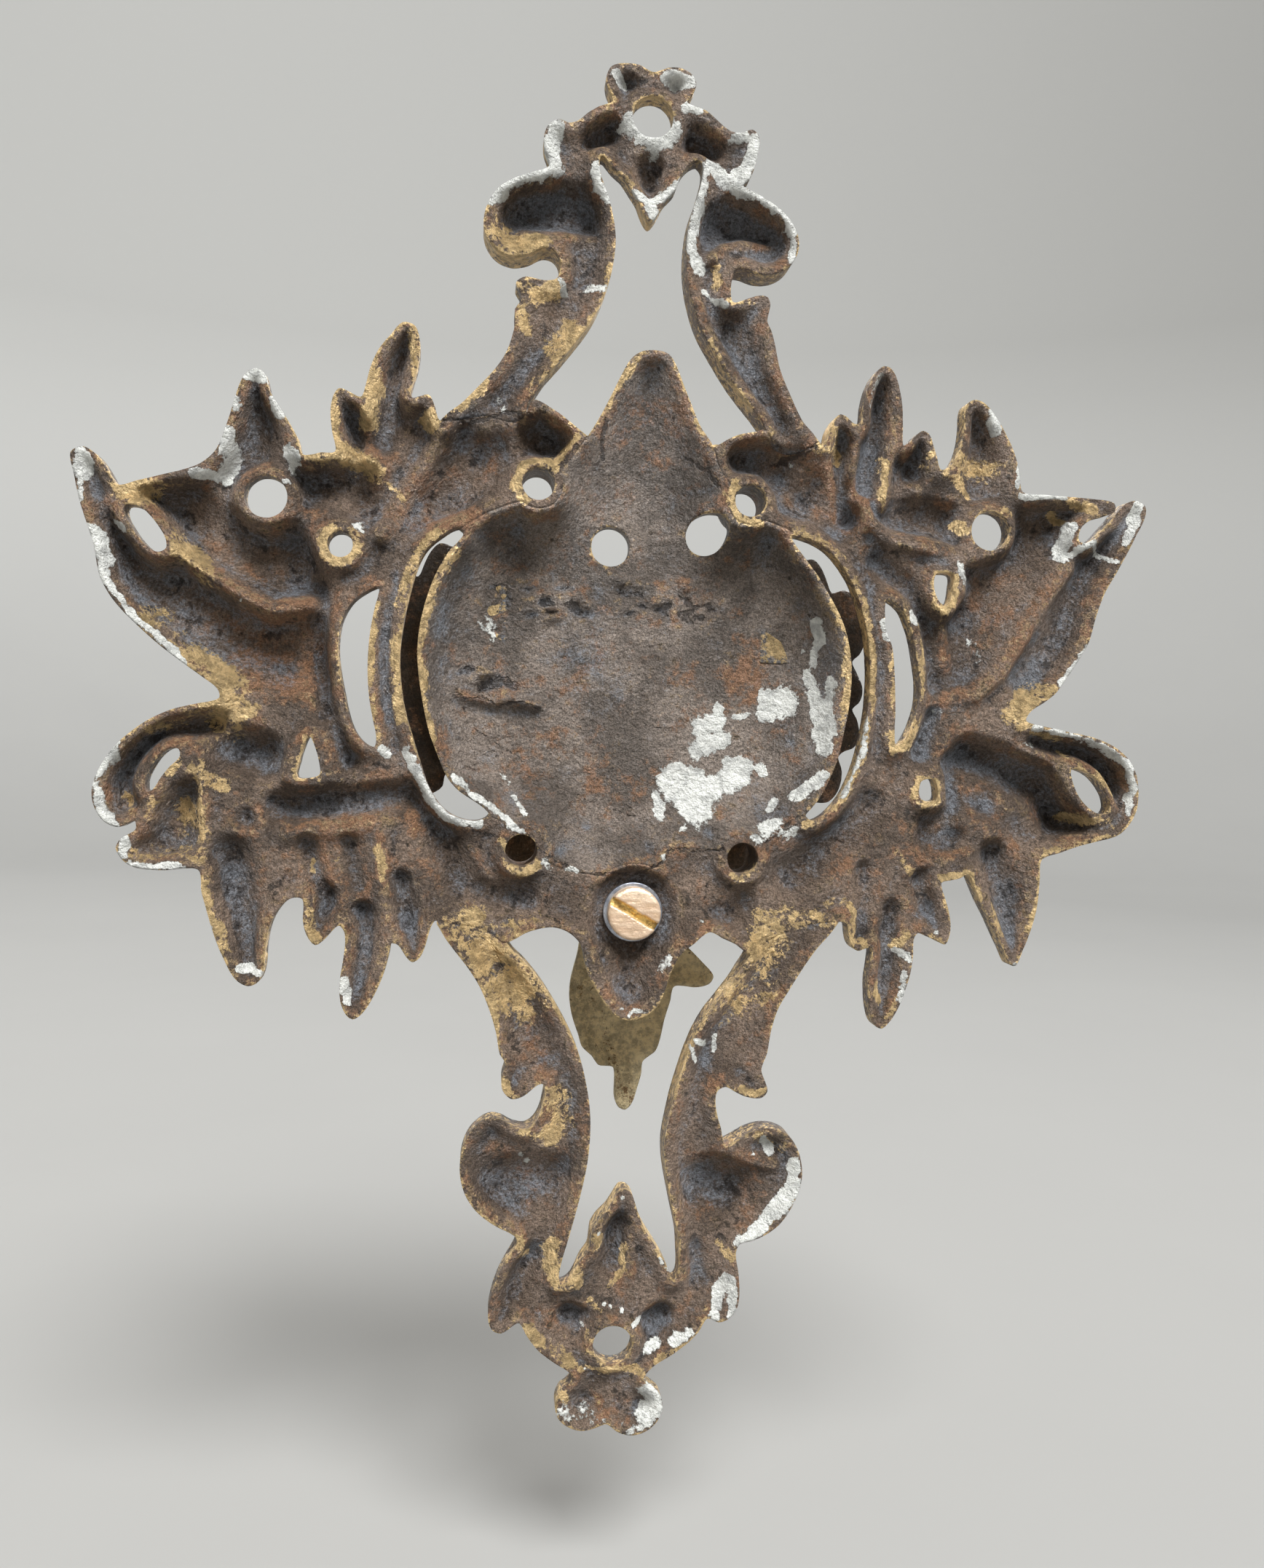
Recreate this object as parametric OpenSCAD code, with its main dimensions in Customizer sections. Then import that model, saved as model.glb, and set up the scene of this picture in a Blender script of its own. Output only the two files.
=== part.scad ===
// Rococo door knocker: a pierced cast backplate with a dished cartouche,
// brazed crests above and below, and a hinged heart-shaped knocker.
// Outlines are drawn as seen from behind: u runs to the right, v runs up.
// On the finished part x = -u, z = v, and the front faces -Y.

/* [Backplate] */
// Thickness of the cast sheet
sheet_t = 4; // [3:0.1:5]
// Thickness of the crests' arms, which are deeper castings than the sheet
arm_t = 6.5; // [6:0.5:10]
// Bore of the four fixing holes
fixing_d = 7.6; // [6.5:0.1:8]
// Distance between the left and right fixing holes
side_spacing = 136; // [134:0.5:138]
// Height of the side fixing holes above the middle of the plate
side_height = 42.3; // [41:0.1:44]
// Outer diameter of the small bosses around the dome
boss_d = 9; // [8:0.1:10]
// Bore of the small bosses
boss_bore = 6; // [4:0.1:6.4]
// Height of the bosses, from the back plane
boss_h = 6; // [4:0.5:8]

/* [Dome] */
// Depth of the dished cartouche
dome_depth = 10; // [6:0.5:12]
// Radius of the dish at the back plane
dome_r = 36; // [32:0.5:37]
// Wall thickness of the dish
dome_wall = 3; // [2:0.1:4]
// Diameter of the two drilled holes in the dish
dome_hole_d = 7.5; // [6:0.1:8]

/* [Hinge] */
// Height of the hinge axis above the middle of the plate
hinge_v = 29.5; // [28:0.5:31]
// Distance of the hinge axis in front of the back plane
hinge_w = 21; // [20:0.5:23]
// Pin diameter
pin_d = 4; // [3:0.1:4.4]
// Radial running clearance of the pin
pin_clear = 0.06; // [0.02:0.01:0.1]
// Outer diameter of the barrel and the ears
barrel_d = 9.2; // [8.6:0.1:9.4]
// Length of the knocker's barrel
barrel_len = 26.4; // [24:0.2:27]
// Thickness of each ear
ear_t = 5; // [4:0.5:5.5]

/* [Knocker] */
// Distance of the knocker's back face in front of the back plane
knocker_back = 19; // [18:0.5:20]
// Thickness of the knocker
knocker_t = 6; // [5:0.5:8]
// Thickness of the acanthus leaf
leaf_t = 3; // [2:0.5:4]
// Diameter of the striker pad
pad_d = 11; // [9:0.5:12]

/* [Strike stud] */
// Outer diameter of the strike stud
stud_d = 13; // [11:0.5:14]
// Distance of the stud's face in front of the back plane
stud_face = 15; // [13:0.5:16]
// Diameter of the screw's shank
screw_d = 6; // [5:0.5:6]
// Diameter of the screw's head
head_d = 10; // [9:0.1:10.4]
// Height of the screw's head
head_h = 3; // [2.5:0.1:3.4]
// Outer diameter of the washer
washer_d = 11.4; // [10.8:0.1:12]
// Thickness of the washer
washer_t = 1.2; // [1:0.1:1.4]
// Depth of the pocket that hides the screw's head
pocket_depth = 4.6; // [4.4:0.1:5]

/* [Hidden] */
$fn = 64;
// How far a cut runs past the face it opens, and past the whole part.
past = 1;
deep = 60;
// Gap between the striker pad and the stud when the knocker hangs at rest.
nip = 0.2;

// The middle of the two side fixing holes is the part's origin.
datum = [-0.35, side_height];
left_hole = datum + [-side_spacing / 2, 0];
right_hole = datum + [side_spacing / 2, 0];
top_hole = [0, 115];
bottom_hole = [-2.1, -115.2];
bosses = [[-19.6, 47], [20.3, 45.8], [-21.4, -20.8], [20.6, -21.8]];
dome_holes = [[-5.2, 37.3], [13, 40]];
dome_centre = [0.3, 11.5];
dome_sphere = (dome_r * dome_r + dome_depth * dome_depth) / (2 * dome_depth);
screw_at = [0.2, -32.6];
// Metal between the screw's pocket and the stud.
pocket_floor = 3.6;
stud_floor = pocket_depth + pocket_floor;
stud_pad_d = 19;
pocket_d = 14;
// Depth of the tapped hole's end, behind the stud's face.
stud_end_wall = 2;
// Clearances of the screw in the plate and of the washer on the screw.
screw_clear = 0.6;
washer_clear = 0.4;
slot_w = 1.4;
slot_depth = 1.4;
slot_turn = -30;
// Side play of the barrel between the ears.
ear_gap = 0.4;
ear_inner = barrel_len / 2 + ear_gap;
ear_reach = ear_inner + ear_t;
pin_stub = 4.6;
pin_reach = ear_reach + pin_stub;
cap_gap = 0.1;
cap_base = ear_reach + cap_gap;
cap_d = 8;
cap_rim = 1.6;
cap_neck = 2;
cap_neck_d = 5.6;
cap_ball_d = 6.6;
// How far the cap's ball sinks into its neck.
cap_ball_sink = 1.8;
// The knocker's flat web starts here, below the barrel.
web_v = 20;
rivet_at = [[1, -28.5], [1, -36.5]];
rivet_d = 3;
rivet_head_d = 5.4;
rivet_head_h = 1.4;
edge_steps = 2;
// Heights between which the crests' arms have their full thickness.
upper_arms = [60, 100];
lower_arms = [-98, -39];
plate_w = 210;

// ---- Smooth outlines: a centripetal spline through each hand-placed point ----
function knot(t, a, b) = t + max(sqrt(norm(b - a)), 0.01);
function mix(p, q, tp, tq, t) = ((tq - t) * p + (t - tp) * q) / (tq - tp);
function spline(p, q, r, s, f) =
    let (t1 = knot(0, p, q), t2 = knot(t1, q, r), t3 = knot(t2, r, s), t = t1 + (t2 - t1) * f)
    let (a = mix(p, q, 0, t1, t), b = mix(q, r, t1, t2, t), c = mix(r, s, t2, t3, t))
    let (d = mix(a, b, 0, t2, t), e = mix(b, c, t1, t3, t))
    mix(d, e, t1, t2, t);
function smooth(pts, steps = edge_steps) =
    let (n = len(pts))
    [for (i = [0 : n - 1], k = [0 : steps - 1])
        spline(pts[(i + n - 1) % n], pts[i], pts[(i + 1) % n], pts[(i + 2) % n], k / steps)];

// ---- Outlines ----
plate_left = [
    [-20.9, 62.2], [-22.4, 59.3], [-24.6, 58.3], [-29.5, 59.2], [-33.5, 58.2], [-37.8, 57.5],
    [-38.6, 59.6], [-39.9, 62], [-42.8, 61.3], [-43.1, 62.6], [-42, 66.7], [-41.6, 71], [-42.5, 74.2],
    [-44.7, 74.7], [-46.6, 72.6], [-48.9, 69.6], [-50.4, 66], [-51.2, 62.6], [-51.9, 60.9], [-54, 61.7],
    [-55.8, 62.2], [-56.9, 60.4], [-57.2, 57.2], [-56.8, 54], [-56.3, 50.9], [-58.7, 50.6], [-62, 50.1],
    [-63, 53], [-64.6, 55.9], [-66.4, 58.7], [-68, 61.2], [-68.8, 64], [-70.2, 64.9], [-72, 64],
    [-73.3, 61.4], [-74.5, 57.3], [-75.6, 53.8], [-77.2, 49.9], [-80.2, 47.3], [-85.8, 45.4],
    [-90.5, 44], [-93.8, 43.1], [-95.2, 45.2], [-97.2, 48], [-99.6, 49.5], [-101.7, 48.4],
    [-101.2, 45], [-100.2, 40.3], [-98.9, 36.2], [-97.6, 32], [-96.6, 26.9], [-94.2, 22.7], [-90.5, 18.8],
    [-86.1, 14.9], [-81.8, 11.7], [-78.4, 9.3], [-76.3, 7.6], [-76, 6], [-79.4, 5], [-84, 3.8],
    [-88.3, 1.7], [-91.6, -0.8], [-94.2, -3.4], [-96.4, -6.9], [-97.6, -10.4], [-97.4, -13.4],
    [-95.7, -16.4], [-93, -17.5], [-90.4, -16.3], [-90.2, -17.9], [-92.6, -19.5], [-93.5, -21.3],
    [-91.9, -23.8], [-89.4, -24.9], [-84.3, -25.1], [-79.3, -25], [-78.7, -28.7], [-77.5, -33.2],
    [-76.1, -37.7], [-74.4, -41.7], [-72.6, -44.8], [-70.3, -46.1], [-68.4, -45.2], [-67.6, -42.6],
    [-67.4, -39.2], [-66.6, -34.9], [-65, -31.9], [-62.8, -30], [-60.9, -30.2], [-60.8, -33.7],
    [-60.2, -36.5], [-58.5, -38.6], [-56.4, -37], [-54.4, -35], [-53.3, -36.4], [-53.4, -40.6],
    [-54, -44.9], [-53.9, -48.9], [-52.8, -51.5], [-51.6, -52.3], [-49.9, -51.2], [-47.9, -48],
    [-46.3, -44.2], [-45.3, -40.2], [-44.8, -38.2], [-43.5, -38.7], [-42.3, -40.5], [-41, -41.7],
    [-39.6, -40.8], [-38.5, -38], [-37.8, -35.4], [-36.9, -34], [-33.6, -34.8], [-30, -35.4],
    [-27, -36.4], [-24.1, -38.1]];
plate_bottom = [
    [-20.2, -36.2], [-15.6, -35.1], [-12.4, -36], [-9.9, -38.4], [-9, -41.5], [-8.1, -44.6], [-6.2, -47.9],
    [-4.1, -50.9], [-1.9, -52.5], [0.6, -52.7], [3.1, -51.7], [5.1, -49.8], [6.3, -47], [7.5, -43.4],
    [9.1, -40.3], [11.8, -38], [14.6, -35.9], [17, -37], [20, -38.4], [22.8, -40.3]];
plate_right = [
    [25.6, -38.6], [29, -36.6], [33, -35.2], [36.6, -34.2], [39.9, -33.8], [41.4, -34.1], [41.8, -36],
    [42.4, -38.3], [43.8, -39.4], [46.4, -38.7], [46.6, -40.6], [46.1, -44.9], [46.2, -48.5],
    [46.7, -51.8], [47.6, -53.9], [48.9, -54.6], [50.3, -53.6], [52, -51.1], [53.4, -47.6], [54.4, -44],
    [54.9, -40.2], [54.9, -37.2], [55.7, -35.9], [57.6, -36.6], [59.4, -37.3], [61.3, -38.1], [62.1, -36.4],
    [62.3, -34.3], [61.7, -31.2], [60.8, -28.5], [60.2, -26.1], [61.9, -25.6], [64, -25.1], [65.4, -24.3],
    [66.7, -26.4], [68.2, -29.6], [70, -32.8], [71.8, -36.3], [73.5, -39.5], [74.8, -42.1], [75.9, -42.3],
    [77.2, -39.5], [78.5, -36.2], [79.6, -32.3], [80.1, -28.6], [80.3, -24.7], [80.6, -21.3],
    [84, -20], [88, -18.6], [92.2, -17.5], [96.2, -16.3], [98.7, -13.9], [100, -10.8], [100.2, -7.4],
    [99.6, -4.2], [98.2, -1.6], [95.6, 0.7], [92.8, 2.1], [89.5, 3.1], [85.6, 3.8], [82, 4.5],
    [78.6, 5.1], [76.3, 5.9], [77.2, 7.7], [79.6, 9.3], [82.2, 11.4], [84.4, 14.6], [86.6, 17.9],
    [88.6, 21.5], [89.6, 25.2], [90.6, 28.8], [92, 32.1], [93.7, 35], [95.7, 38.8], [97.6, 42.7],
    [99.1, 45.8], [99.4, 48.3], [97.5, 49.5], [95.2, 48.8], [92.8, 46.1], [90.4, 43.3], [87.8, 40.9],
    [85.8, 41.2], [86.1, 43.6], [88.2, 45.4], [91, 46.3], [93, 47.2], [92.8, 48.8], [88.8, 49.4],
    [83.4, 49.6], [77.6, 49.8], [73.9, 50.1], [73.3, 52.7], [72.5, 56], [71.6, 58.2], [70.3, 60.6],
    [69, 62.8], [67.2, 65.2], [65.3, 66.8], [63.4, 67.1], [61.9, 65.9], [61.7, 62.4], [61.4, 59.3],
    [60.6, 56.4], [59.3, 54.3], [57.3, 53.5], [56.5, 55.6], [55.7, 57.9], [54.9, 59.9], [53.6, 60.7],
    [52.2, 59.8], [50.8, 58.2], [49.7, 57.7], [49.5, 61], [49.3, 65], [48.7, 68], [47.9, 70.5],
    [46.8, 72], [45.4, 72.4], [44.2, 71.5], [43, 69.6], [42.2, 67.3], [41.7, 64.6], [41.3, 61.4],
    [39.9, 61.3], [38.6, 62.3], [37.2, 62.9], [36.2, 62.1], [35.2, 60], [34.6, 57.7], [33.4, 57],
    [31, 56.1], [28, 55.6], [24.7, 56.8], [22.6, 59.1]];
plate_top = [
    [20.9, 58.7], [18.1, 58.1], [15.6, 57], [13.8, 55.9], [11, 55.5], [8, 53.5], [-6, 53.5], [-8.6, 55],
    [-10.8, 56.2], [-12.6, 57.5], [-15, 59.3], [-17.4, 60.8]];
plate_outline = concat(plate_left, plate_bottom, plate_right, plate_top);

dome_outline = [
    [-10.4, 56.7], [-7.8, 61.3], [-6.2, 64.6], [-4.6, 68], [-2.9, 70.9], [-0.9, 72.3], [1.8, 72.6],
    [4, 72.1], [5.4, 70.2], [7, 66.5], [8.7, 62.7], [10.4, 59], [12.6, 56], [14, 52.5], [16.5, 48.5],
    [21, 43], [25.5, 41.7], [29.2, 39.9], [34, 37], [37.6, 32.4], [40, 27], [41.6, 21], [42.4, 15],
    [42.4, 9], [41.6, 3], [40, -3], [37.8, -8], [34.5, -12.6], [31.4, -15], [26, -18.2], [20.5, -20.4],
    [15.5, -20.4], [11, -20], [7.6, -20.3], [5.4, -22.6], [2, -24.8], [-3, -25.4], [-8.4, -25.2],
    [-13, -24.4], [-17, -22.6], [-21.4, -19], [-26, -15], [-30.5, -13.7], [-34.6, -10.6], [-37.2, -7],
    [-39.4, -1.8], [-41.2, 4], [-42.3, 9.5], [-42.6, 15], [-42.2, 20.4], [-41, 26], [-39.2, 31],
    [-36.6, 35.2], [-33.2, 38.4], [-29, 41.4], [-24.2, 43.3], [-19, 44.5], [-15.2, 50]];

inner_slots = [
    [[-34, 38.4], [-37, 36.7], [-39.6, 34.3], [-41.3, 31], [-42.7, 26], [-43.8, 20], [-44.3, 14.5],
     [-43.9, 8.5], [-43, 4], [-41.6, -0.6], [-40.2, -5], [-38.6, -9.4], [-36.2, -13], [-33, -15],
     [-29.6, -15.4], [-27.5, -14.2], [-29.6, -12.2], [-33, -10], [-35.3, -7.4], [-37, -3.6],
     [-38.7, 0.8], [-39.8, 5.4], [-40.7, 10.6], [-41.1, 15.2], [-40.7, 20.4], [-39.5, 25.6],
     [-37.8, 30.2], [-35.5, 34.2], [-33.1, 37.2]],
    [[28.4, 39.6], [32, 39], [35.2, 37.5], [38, 34.8], [40.6, 31], [42.4, 26.5], [43.8, 21.5],
     [44.5, 16], [44.6, 11], [44.2, 5.5], [43.2, 0], [42, -4.5], [39.8, -9.4], [37, -12.8],
     [34.2, -14.4], [32.7, -13.5], [33.8, -12], [35.4, -9.9], [37.3, -6.2], [38.8, -2], [39.8, 2.8],
     [40.5, 6.8], [40.9, 11.5], [40.8, 16], [40, 20.4], [38.5, 24.5], [36.4, 28.2], [33.5, 32.6],
     [30.6, 36.2]]];
outer_slots = [
    [[-48.2, 26.9], [-50.6, 25.9], [-52.8, 24.1], [-54.4, 21.4], [-55.1, 18.7], [-55.3, 15],
     [-54.9, 11.5], [-54.1, 7.5], [-53.2, 3.5], [-51.9, 0.3], [-50.2, -1.6], [-48.6, -2.2], [-48.2, -0.5],
     [-48.7, 2.1], [-49.5, 6.2], [-49.9, 10.6], [-49.9, 15], [-49.5, 19.6], [-48.8, 23.4]],
    [[47.4, 28.3], [50.2, 26.8], [51.6, 24.5], [52.9, 21], [53.8, 16.9], [54.5, 12.4], [54.4, 8.4],
     [53.6, 5.3], [52.5, 2.6], [51.2, 0.7], [50.1, 0.4], [49.8, 1.9], [49.8, 6.2], [49.6, 10.6],
     [49.3, 15], [48.7, 19.4], [47.6, 22], [47.1, 25.2]]];
piercings = [
    [[-92.4, 39.7], [-90.1, 39.5], [-88.2, 38], [-86.5, 35.8], [-85.5, 34], [-85.4, 32.3], [-86.8, 31.6],
     [-88.4, 32.3], [-90.1, 34], [-91.6, 36.2], [-92.6, 38.2]],
    [[-60.1, -0.5], [-59, -2.6], [-58.3, -5.2], [-58.2, -7.4], [-60.2, -8.1], [-62.3, -8],
     [-61.9, -5.2], [-61.1, -2.4]],
    [[-84.7, -3.4], [-82.9, -3.3], [-82.7, -4.7], [-84.3, -6.4], [-86, -8.6], [-87.3, -10.7],
     [-88.5, -11.1], [-88.6, -9], [-87.6, -6.6], [-86.2, -4.6]],
    [[57, 33.5], [58.8, 33.9], [60.6, 33.6], [60.6, 31.2], [60.2, 28.6], [59.2, 27.6], [57.8, 28.4],
     [56.7, 31]],
    [[55.4, -6.5], [57, -5.9], [58.2, -6.1], [58.9, -8.6], [58.7, -10], [57, -10.3], [55.3, -9.6]],
    [[86, -3.5], [88.4, -3.7], [91, -5], [93.2, -7.5], [94.4, -10.6], [93.5, -12.3], [91, -11.7],
     [88.6, -9.8], [86.9, -7.2]]];
left_eyelet = [-55.2, 34.3];
left_eyelet_d = 4.6;

crest_upper_outer = [
    [-30.2, 54.5], [-37.8, 54.5], [-37.6, 57.6], [-34, 60.8], [-30.6, 64.4], [-28, 67.4], [-26.2, 70.2],
    [-25.1, 73.2], [-24.5, 76.2], [-24.6, 78.4], [-23.5, 80.2], [-23.8, 81.7], [-24.5, 83.2],
    [-22.8, 84.4], [-20, 84], [-17.3, 84.3], [-16.5, 86], [-16.6, 88], [-17.8, 89.6], [-19.8, 89.8],
    [-22, 88.6], [-25, 87.9], [-27.8, 88.7], [-29.8, 90.8], [-30.6, 93.6], [-29.9, 97],
    [-28, 100], [-24.9, 102], [-21.4, 103.4], [-18.9, 104.6], [-19.8, 107.6], [-19.9, 110.3],
    [-18.9, 112.3], [-17, 113.1], [-15.6, 112.6], [-13.8, 113.1], [-12, 114.7], [-10, 116],
    [-7.5, 117.2], [-8.4, 119.2], [-8.8, 121.5], [-7.8, 123.5], [-5.4, 124.2], [-2.7, 124.1],
    [-0.1, 123.1], [2.6, 124.1], [4.6, 124.3], [6.9, 123.4], [7.9, 121.6], [7.2, 119.7], [6.2, 118.2],
    [7.3, 117.7], [9.8, 117], [12.4, 115.1], [14.7, 113.6], [16.8, 113.6], [18.7, 114.3], [19.9, 113.2],
    [20, 110.8], [19.4, 108], [18.4, 105.2], [17.1, 104], [19.4, 102.9], [22.6, 101.3], [25.2, 99.5],
    [27, 97.4], [28, 95.2], [28.1, 92.8], [27.1, 90.5], [25.3, 88.9], [22.9, 88], [20.2, 88],
    [17.8, 88.7], [16.2, 88.6], [15.6, 86.6], [15.4, 84.2], [15.9, 82.4], [18.1, 83], [20.5, 83.9],
    [22.4, 83.8], [23, 82.3], [22.5, 79.4], [23.3, 77.6], [24.1, 75], [25.2, 70.6], [27.4, 65.8],
    [30, 61], [33.4, 57.2], [33.6, 54], [28, 53], [22.6, 55.5]];
crest_upper_inner = [
    [22.8, 59.2], [21, 61.9], [18.1, 65.2], [15.4, 68.6], [13.2, 71.9], [11.1, 75.1], [9.5, 78.1],
    [8.4, 81.2], [7.5, 84.6], [7, 88], [6.9, 91.6], [7.2, 95.6], [7.8, 98.6], [8.7, 101.4],
    [9.4, 104.2], [9.6, 106.6], [8.7, 107.9], [7, 107], [5.5, 104.9], [4.5, 102.2], [2.6, 100],
    [1.3, 97.5], [-0.1, 95.9], [-1.3, 97.3], [-2.5, 99.8], [-3.8, 101.6], [-5.4, 103.8], [-7.4, 105.4],
    [-9.3, 107.3], [-9.7, 105], [-8.9, 102.4], [-7.7, 99.2], [-6.8, 95.6], [-6.4, 92.4], [-6.5, 90],
    [-6.9, 87], [-7.6, 84], [-9.5, 79.2], [-11.4, 75.9], [-13.9, 72.5], [-16.4, 69.3], [-18.9, 66.3],
    [-20.7, 63.4], [-22, 61.5], [-22.5, 58]];
crest_lower_outer = [
    [-30, -31], [-36.9, -31], [-36.7, -34], [-34.9, -37.5], [-31.3, -42.1], [-28.8, -45.9],
    [-26.8, -50.4], [-25.3, -55.3], [-24.6, -59], [-23.5, -60.8], [-24.1, -63.2], [-24, -65.7],
    [-22.2, -67.5], [-19.8, -66.8], [-17.4, -64.9], [-16.2, -64.8], [-16.4, -68.7], [-17.6, -72],
    [-19.4, -73.4], [-22, -72.7], [-24.1, -71.4], [-26.3, -71], [-28.8, -72.5], [-30.6, -75.2],
    [-31.5, -78.6], [-31.5, -82], [-30.3, -85.9], [-27.8, -89.3], [-24.4, -91.8], [-21.1, -93.6],
    [-20.6, -95], [-22.5, -98], [-24.2, -101.4], [-25.4, -105.3], [-25.8, -109], [-25.1, -111.3],
    [-23.3, -112.1], [-21.5, -111], [-20, -110.2], [-18.6, -112.5], [-16.2, -115.7], [-12.7, -118.5],
    [-9.7, -120.8], [-10.2, -122.4], [-11.8, -123.7], [-12.8, -126.1], [-12.3, -128.8], [-10.2, -130.8],
    [-7.2, -131.6], [-4.6, -131], [-2.9, -130.5], [-0.9, -132], [1.8, -132.9], [4.6, -132.4],
    [6.8, -130.6], [7.9, -127.9], [7.2, -125.2], [5.4, -123.6], [4, -122.3], [5.6, -119.9],
    [8.6, -118], [12, -115.7], [14.6, -113.1], [16.2, -110.7], [18.4, -111.5], [20.6, -110.7],
    [22, -108.6], [22.3, -105], [21.9, -101.3], [21.4, -98], [22.2, -96.3], [24.2, -95.8], [26.8, -94.8],
    [29.7, -92.8], [31.9, -89.8], [33.4, -86.6], [34, -83.4], [33.7, -80.2], [32.8, -77.6],
    [31.3, -75.5], [29.1, -74.3], [26.4, -73.9], [23.3, -74.9], [20.7, -76.6], [18.9, -77.2],
    [17.8, -73.6], [16.8, -70], [16.9, -66.6], [18.6, -65.7], [19.8, -66.3], [22.2, -67.5],
    [25.5, -67.9], [26.7, -66.6], [26.1, -64.5], [25.4, -62.4], [26.4, -59.4], [27, -55.4],
    [28.3, -50.9], [30.3, -47.3], [32.8, -43.2], [35.9, -38.7], [39.7, -34], [39.9, -31], [33, -31],
    [24, -34]];
crest_lower_inner = [
    [22.8, -40], [21.2, -42.7], [19.6, -45.3], [16.9, -48.9], [13.9, -53], [11.4, -58.4], [10, -62.7],
    [8.6, -67.6], [7.7, -72], [7, -76.5], [7.2, -80.9], [8.1, -85.8], [9.2, -90.7], [10.2, -95.1],
    [10.4, -98.8], [10.1, -102.2], [9.3, -103.1], [8.5, -101.4], [7.2, -98.7], [4.9, -95.1],
    [3.1, -92], [1.9, -88.8], [0.9, -86.1], [-0.1, -85.2], [-1.2, -85.2], [-2.2, -86.7],
    [-3.6, -89.3], [-5.2, -91.2], [-6.5, -93.4], [-7, -96.7], [-8.5, -98.8], [-9.6, -100.9],
    [-10.7, -102.5], [-12.4, -103.2], [-12.5, -100.4], [-11.2, -95.2], [-9.9, -90.3], [-8.6, -84.8],
    [-7.7, -79.8], [-7.3, -74.2], [-7.5, -69.5], [-8.3, -64.7], [-9.8, -59.1], [-11.9, -54.4],
    [-14.5, -49.8], [-17.5, -45.2], [-20.5, -41.6], [-23.9, -37.9], [-24.4, -33]];

// Half of the knocker, from the barrel round its lobes to the striker.
knocker_half = [
    [13.2, 22.4], [20, 21.6], [26.6, 22.4], [29.6, 26.4], [30.8, 32], [33.2, 36.4], [36.1, 38],
    [38.2, 38.3], [40.2, 36], [41.4, 33.2], [42.2, 31.6], [44.6, 32.3], [47.4, 31.4], [49.4, 28.4],
    [50, 24.8], [49.6, 21.6], [48.4, 19], [47, 17.6], [47.9, 15.6], [49.2, 12.8], [49.4, 11],
    [48.6, 9], [47.3, 7.8], [48.3, 5.8], [48.9, 3.6], [48.8, 1.4], [47.8, -0.3], [46, -1],
    [44.6, -2.2], [45.3, -4.4], [45.5, -6.2], [44.8, -9.2], [42.8, -11.6], [40.2, -11.8], [38, -11],
    [36.7, -9.9], [36.3, -7.8], [34.6, -6.4], [32.4, -7.4], [30.2, -10.6], [28, -13.6], [26.5, -16.8],
    [26.6, -21], [25.4, -26.4], [22.8, -31.2], [18.8, -35], [14, -37.6], [9, -38.8], [4, -39.4]];
knocker_window_half = [
    [0, 17.4], [7, 17.8], [14, 16.4], [21, 15.8], [27, 16.6], [32, 15.4], [35.2, 11.4], [36, 6],
    [34, 0.6], [29.6, -3], [24.6, -5.4], [21, -9.4], [18.6, -14.4], [15, -19.4], [10, -23],
    [4.6, -24.8], [0, -25.2]];
leaf_outline = [
    [1, -21], [4.5, -23.5], [7, -27.5], [8.6, -32], [10, -36.5], [12.5, -40.6], [15.4, -43.6],
    [18.4, -46.6], [20.5, -49.2], [19.6, -50.9], [16.4, -51.6], [12.2, -51.4], [11.4, -54.4],
    [10.2, -58.6], [9.4, -62.6], [8.4, -65.2], [5.9, -67.2], [5.6, -69.8], [4.7, -73.2], [3.8, -76],
    [2.4, -77.5], [0.8, -76.8], [0, -74.6], [0, -71.4], [-0.5, -68.4], [-3.4, -68], [-5, -66],
    [-7.1, -64], [-7.8, -61.8], [-9.2, -57.8], [-9.9, -53.4], [-9.6, -49.4], [-8.4, -44.4], [-7.8, -39.5],
    [-7.2, -34], [-6, -28.5], [-3.2, -24]];

function mirrored(pts) = [for (i = [len(pts) - 1 : -1 : 0]) [-pts[i][0], pts[i][1]]];
knocker_outline = concat(knocker_half, mirrored(knocker_half));
knocker_window = concat(knocker_window_half, mirrored([for (i = [1 : 15]) knocker_window_half[i]]));

// ---- Placing helpers ----
module stand() {
    translate([datum[0], 0, -datum[1]])
    rotate([90, 0, 0])
    mirror([1, 0, 0])
    children();
}
// A sheet from one depth to another, both measured forward of the back plane.
module layer(near, far) {
    translate([0, 0, near])
    linear_extrude(far - near)
    children();
}
module post(at, d, near, far) {
    translate([at[0], at[1], near])
    cylinder(d = d, h = far - near);
}
module across(from_u, to_u, d, v = hinge_v, w = hinge_w) {
    translate([from_u, v, w])
    rotate([0, 90, 0])
    cylinder(d = d, h = to_u - from_u);
}
module across_ball(at_u, d) {
    translate([at_u, hinge_v, hinge_w])
    sphere(d = d);
}
module dish(extra) {
    translate([dome_centre[0], dome_centre[1], dome_depth - dome_sphere])
    sphere(r = dome_sphere + extra);
}
module dome_shape() {
    polygon(smooth(dome_outline));
}
// The cartouche's outline, less its slots and the bosses and the screw's pad.
module dome_sheet() {
    difference() {
        dome_shape();
        slot_shapes();
        boss_discs(boss_d);
        translate(screw_at) circle(d = stud_pad_d);
    }
}
module slot_shapes() {
    for (s = inner_slots) polygon(smooth(s));
}
module boss_discs(d) {
    for (b = bosses) translate(b) circle(d = d);
}
module plate_shape() {
    polygon(smooth(plate_outline));
}

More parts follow.
